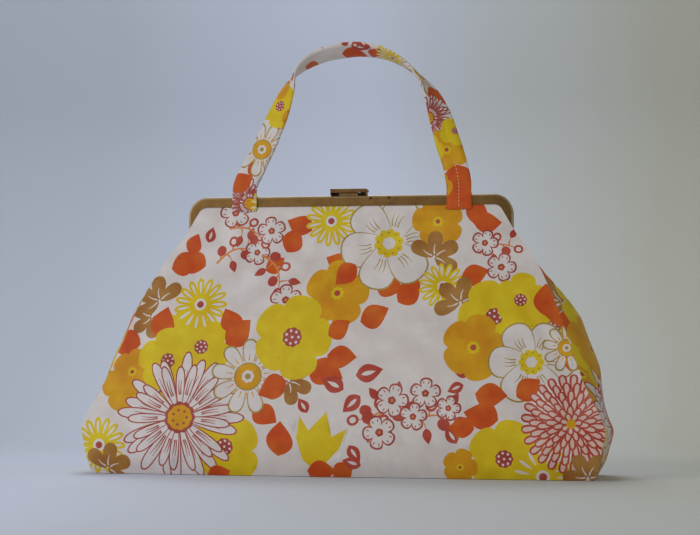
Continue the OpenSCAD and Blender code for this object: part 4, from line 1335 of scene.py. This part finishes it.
    def build_loops(self) -> list[bpy.types.Object]:
        """Makes the loop of cloth round the bar at each end: a closed profile carried across the strap.

        Returns:
            The two loops.
        """
        made = []
        corner = np.array([
            [-0.0061, 0.1932], [-0.0056, 0.1932], [-0.0012, 0.1932], [-0.0007, 0.1937], [-0.0007, 0.2026],
            [-0.0012, 0.2032], [-0.0060, 0.2034], [-0.0068, 0.2036], [-0.0071, 0.2030], [-0.0066, 0.1990],
            [-0.0064, 0.1962], [-0.0064, 0.1956], [-0.0064, 0.1936],
        ])
        for name, node, x, ink in (
            ("left_loop", "left_strap_end", self.left_x, Ink.GROUND),
            ("right_loop", "right_strap_end", self.right_x, Ink.ORANGE),
        ):
            across = np.linspace(-1, 1, 15)
            pinch = 1 - 0.05 * np.abs(across) ** 6
            mid = corner.mean(0)
            rings = mid + (corner - mid) * pinch[:, None, None]
            xs = x + across * self.width / 2 * 0.985
            points = np.concatenate([
                np.stack([np.full(len(corner), xs[i]), rings[i, :, 0], rings[i, :, 1]], 1) for i in range(15)
            ])
            n = len(corner)
            quads = grid_faces(15, n, True).tolist()
            faces = quads + [list(range(n))[::-1], list(range(14 * n, 15 * n))]
            obj = new_mesh(name, points, faces)
            mesh = obj.data
            uv = mesh.uv_layers.new(name="cloth")
            corners = np.zeros(len(mesh.loops), np.int32)
            mesh.loops.foreach_get("vertex_index", corners)
            flat = np.stack([points[:, 0], points[:, 2] + points[:, 1]], 1)
            uv.data.foreach_set("uv", flat[corners].astype(np.float32).ravel())
            colour = mesh.color_attributes.new("print", "FLOAT_COLOR", "CORNER")
            # painted highlight: the loop's foot, where the fold catches light, is laid in the pale ground
            # colour
            fold_highlight = (points[corners, 2] < 0.1958)[:, None]
            rgba = np.where(fold_highlight, [*Ink.GROUND.value, 1.0], [*ink.value, 1.0])
            colour.data.foreach_set("color", rgba.astype(np.float32).ravel())
            obj.data.materials.append(self.cloth)
            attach(obj, "front_frame")
            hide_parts(node)
            made.append(obj)
        return made


@dataclass
class Hardware:
    """Finishes of the metal and board nodes that keep their own shape."""

    nodes: dict[str, bpy.types.Object]
    bows: tuple[str, ...] = ("front_frame", "rear_frame")
    brass: tuple[str, ...] = (
        "clasp_keeper", "clasp_bracket", "clasp_tab", "left_hinge_rivet",
        "right_hinge_rivet", "front_clamp_strip", "rear_clamp_strip",
    )
    steel: tuple[str, ...] = ("clasp_pin", "clasp_spring")

    def dress(self) -> None:
        """Gives each kept node its finish."""
        for names, finish in (
            (self.bows, BOW_BRASS), (self.brass, OLD_BRASS), (self.steel, PLAIN_STEEL),
            (("base_board",), BOARD),
        ):
            mat = finish.material()
            for name in names:
                mesh = self.nodes[name].data
                mesh.materials.clear()
                mesh.materials.append(mat)


    def build_tab_edges(self) -> list[bpy.types.Object]:
        """Makes the turned-down edges of the clasp's tab: a front lip, and a side and rear wall.

        Each follows a plan, as thick as the sheet, and rises into the tab.

        Returns:
            The front lip, the left and the right end.
        """
        thick = 0.0005
        end = np.array([
            [0.0133, -0.0066], [0.0133, 0.0010], [0.0128, 0.0017], [0.0076, 0.0017], [0.0076, 0.0017 - thick],
            [0.0126, 0.0017 - thick], [0.0133 - thick, 0.0009], [0.0133 - thick, -0.0066],
        ])
        lip = np.array([
            [-0.0132, -0.0072], [-0.0128, -0.0074], [0.0128, -0.0074], [0.0132, -0.0072], [0.0132, -0.0069],
            [-0.0132, -0.0069],
        ])
        made = []
        for name, plan, low, high in (
            ("tab_lip", lip, 0.2042, 0.2064), ("right_tab_end", end, 0.2024, 0.2062),
            ("left_tab_end", (end * [-1, 1])[::-1], 0.2024, 0.2062),
        ):
            n = len(plan)
            points = np.concatenate([np.column_stack([plan, np.full(n, z)]) for z in (low, high)])
            faces = grid_faces(2, n, True).tolist() + [list(range(n))[::-1], list(range(n, 2 * n))]
            obj = new_mesh(name, points, faces)
            obj.data.polygons.foreach_set("use_smooth", np.zeros(n + 2, bool))
            obj.data.materials.append(TAB_BRASS.material())
            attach(obj, "clasp_tab")
            made.append(obj)
        return made


@dataclass
class Studio:
    """Camera, lights and the pale table."""

    picture_width: float = 0.510
    azimuth: float = 9.0
    elevation: float = -5.0
    distance: float = 1.1
    roll: float = 0.45
    aim: tuple[float, float, float] = (0.0016, -0.006, 0.1492)

    def build_camera(self) -> bpy.types.Object:
        """Sets the camera: distance from the aim, azimuth from the front, elevation over the table."""
        data = bpy.data.cameras.new("camera")
        data.sensor_width = 36.0
        data.lens = 36.0 * self.distance / self.picture_width
        cam = bpy.data.objects.new("camera", data)
        bpy.context.scene.collection.objects.link(cam)
        a, e = math.radians(self.azimuth), math.radians(self.elevation)
        back = Vector((math.sin(a) * math.cos(e), -math.cos(a) * math.cos(e), math.sin(e)))
        cam.location = Vector(self.aim) + back * self.distance
        turn = (-back).to_track_quat("-Z", "Y").to_matrix()
        cam.rotation_euler = (turn @ Matrix.Rotation(math.radians(self.roll), 3, "Z")).to_euler()
        bpy.context.scene.camera = cam
        return cam

    def build_light(self) -> None:
        """Hangs soft lamps at the left, at the right and above behind, and lights the room evenly."""
        for name, place, size, power in (
            ("key", (-1.2, -1.5, 0.8), 1.0, 13.8), ("fill", (1.3, -1.2, 0.6), 1.4, 2.0),
            ("window", (-0.3, 0.95, 1.5), 0.8, 11.0),
        ):
            lamp = bpy.data.lights.new(name, "AREA")
            lamp.size, lamp.energy = size, power
            obj = bpy.data.objects.new(name, lamp)
            obj.location = place
            obj.rotation_euler = (Vector((0, 0, 0.12)) - Vector(place)).to_track_quat("-Z", "Y").to_euler()
            bpy.context.scene.collection.objects.link(obj)
        world = bpy.data.worlds.new("room")
        world.use_nodes = True
        world.node_tree.nodes["Background"].inputs[0].default_value = (0.87, 0.90, 0.95, 1)
        world.node_tree.nodes["Background"].inputs[1].default_value = 0.30
        bpy.context.scene.world = world
        bpy.context.scene.view_settings.view_transform = "Standard"

    def build_table(self) -> bpy.types.Object:
        """Makes the pale floor that curves up behind: a line, a quarter circle and a wall, carried across."""
        t = np.linspace(0, np.pi / 2, 24)
        floor_y, radius = 0.6, 0.5
        ys = np.concatenate([[-3.0, -1.0], floor_y + radius * np.sin(t), [floor_y + radius]])
        zs = np.concatenate([[0, 0], radius * (1 - np.cos(t)), [3.0]]) - 0.0003
        xs = np.linspace(-3, 3, 5)
        points = np.stack([np.tile(xs, len(ys)), np.repeat(ys, 5), np.repeat(zs, 5)], 1)
        obj = new_mesh("table", points, grid_faces(len(ys), 5).tolist())
        obj.data.materials.append(TablePaper().material())
        obj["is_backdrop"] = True
        return obj


def corners(box: Sequence[Vector]) -> list[list[float]]:
    """A box's two corners as plain lists."""
    return [[float(c) for c in corner] for corner in box]


def main() -> None:
    """Builds the bag's pieces in order."""
    logging.basicConfig(level=logging.INFO, format="%(message)s")
    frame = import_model()
    frame_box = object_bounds()
    studio = Studio()
    studio.build_camera()
    studio.build_light()
    studio.build_table()
    cloth = PrintedCloth().material()
    body = ClothBody(Shell(), cloth, LINING.material())
    made = body.build_panels() + body.build_gussets() + [body.build_base()] + body.build_lining()
    handle = Handle(cloth)
    made += handle.build()
    hardware = Hardware(frame["nodes"])
    hardware.dress()
    made += hardware.build_tab_edges()
    for obj in made:
        LOG.info("%s: %d faces", obj.name, len(obj.data.polygons))
    {"frame": corners(frame_box), "dressed": corners(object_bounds())}


if __name__ == "__main__":
    main()
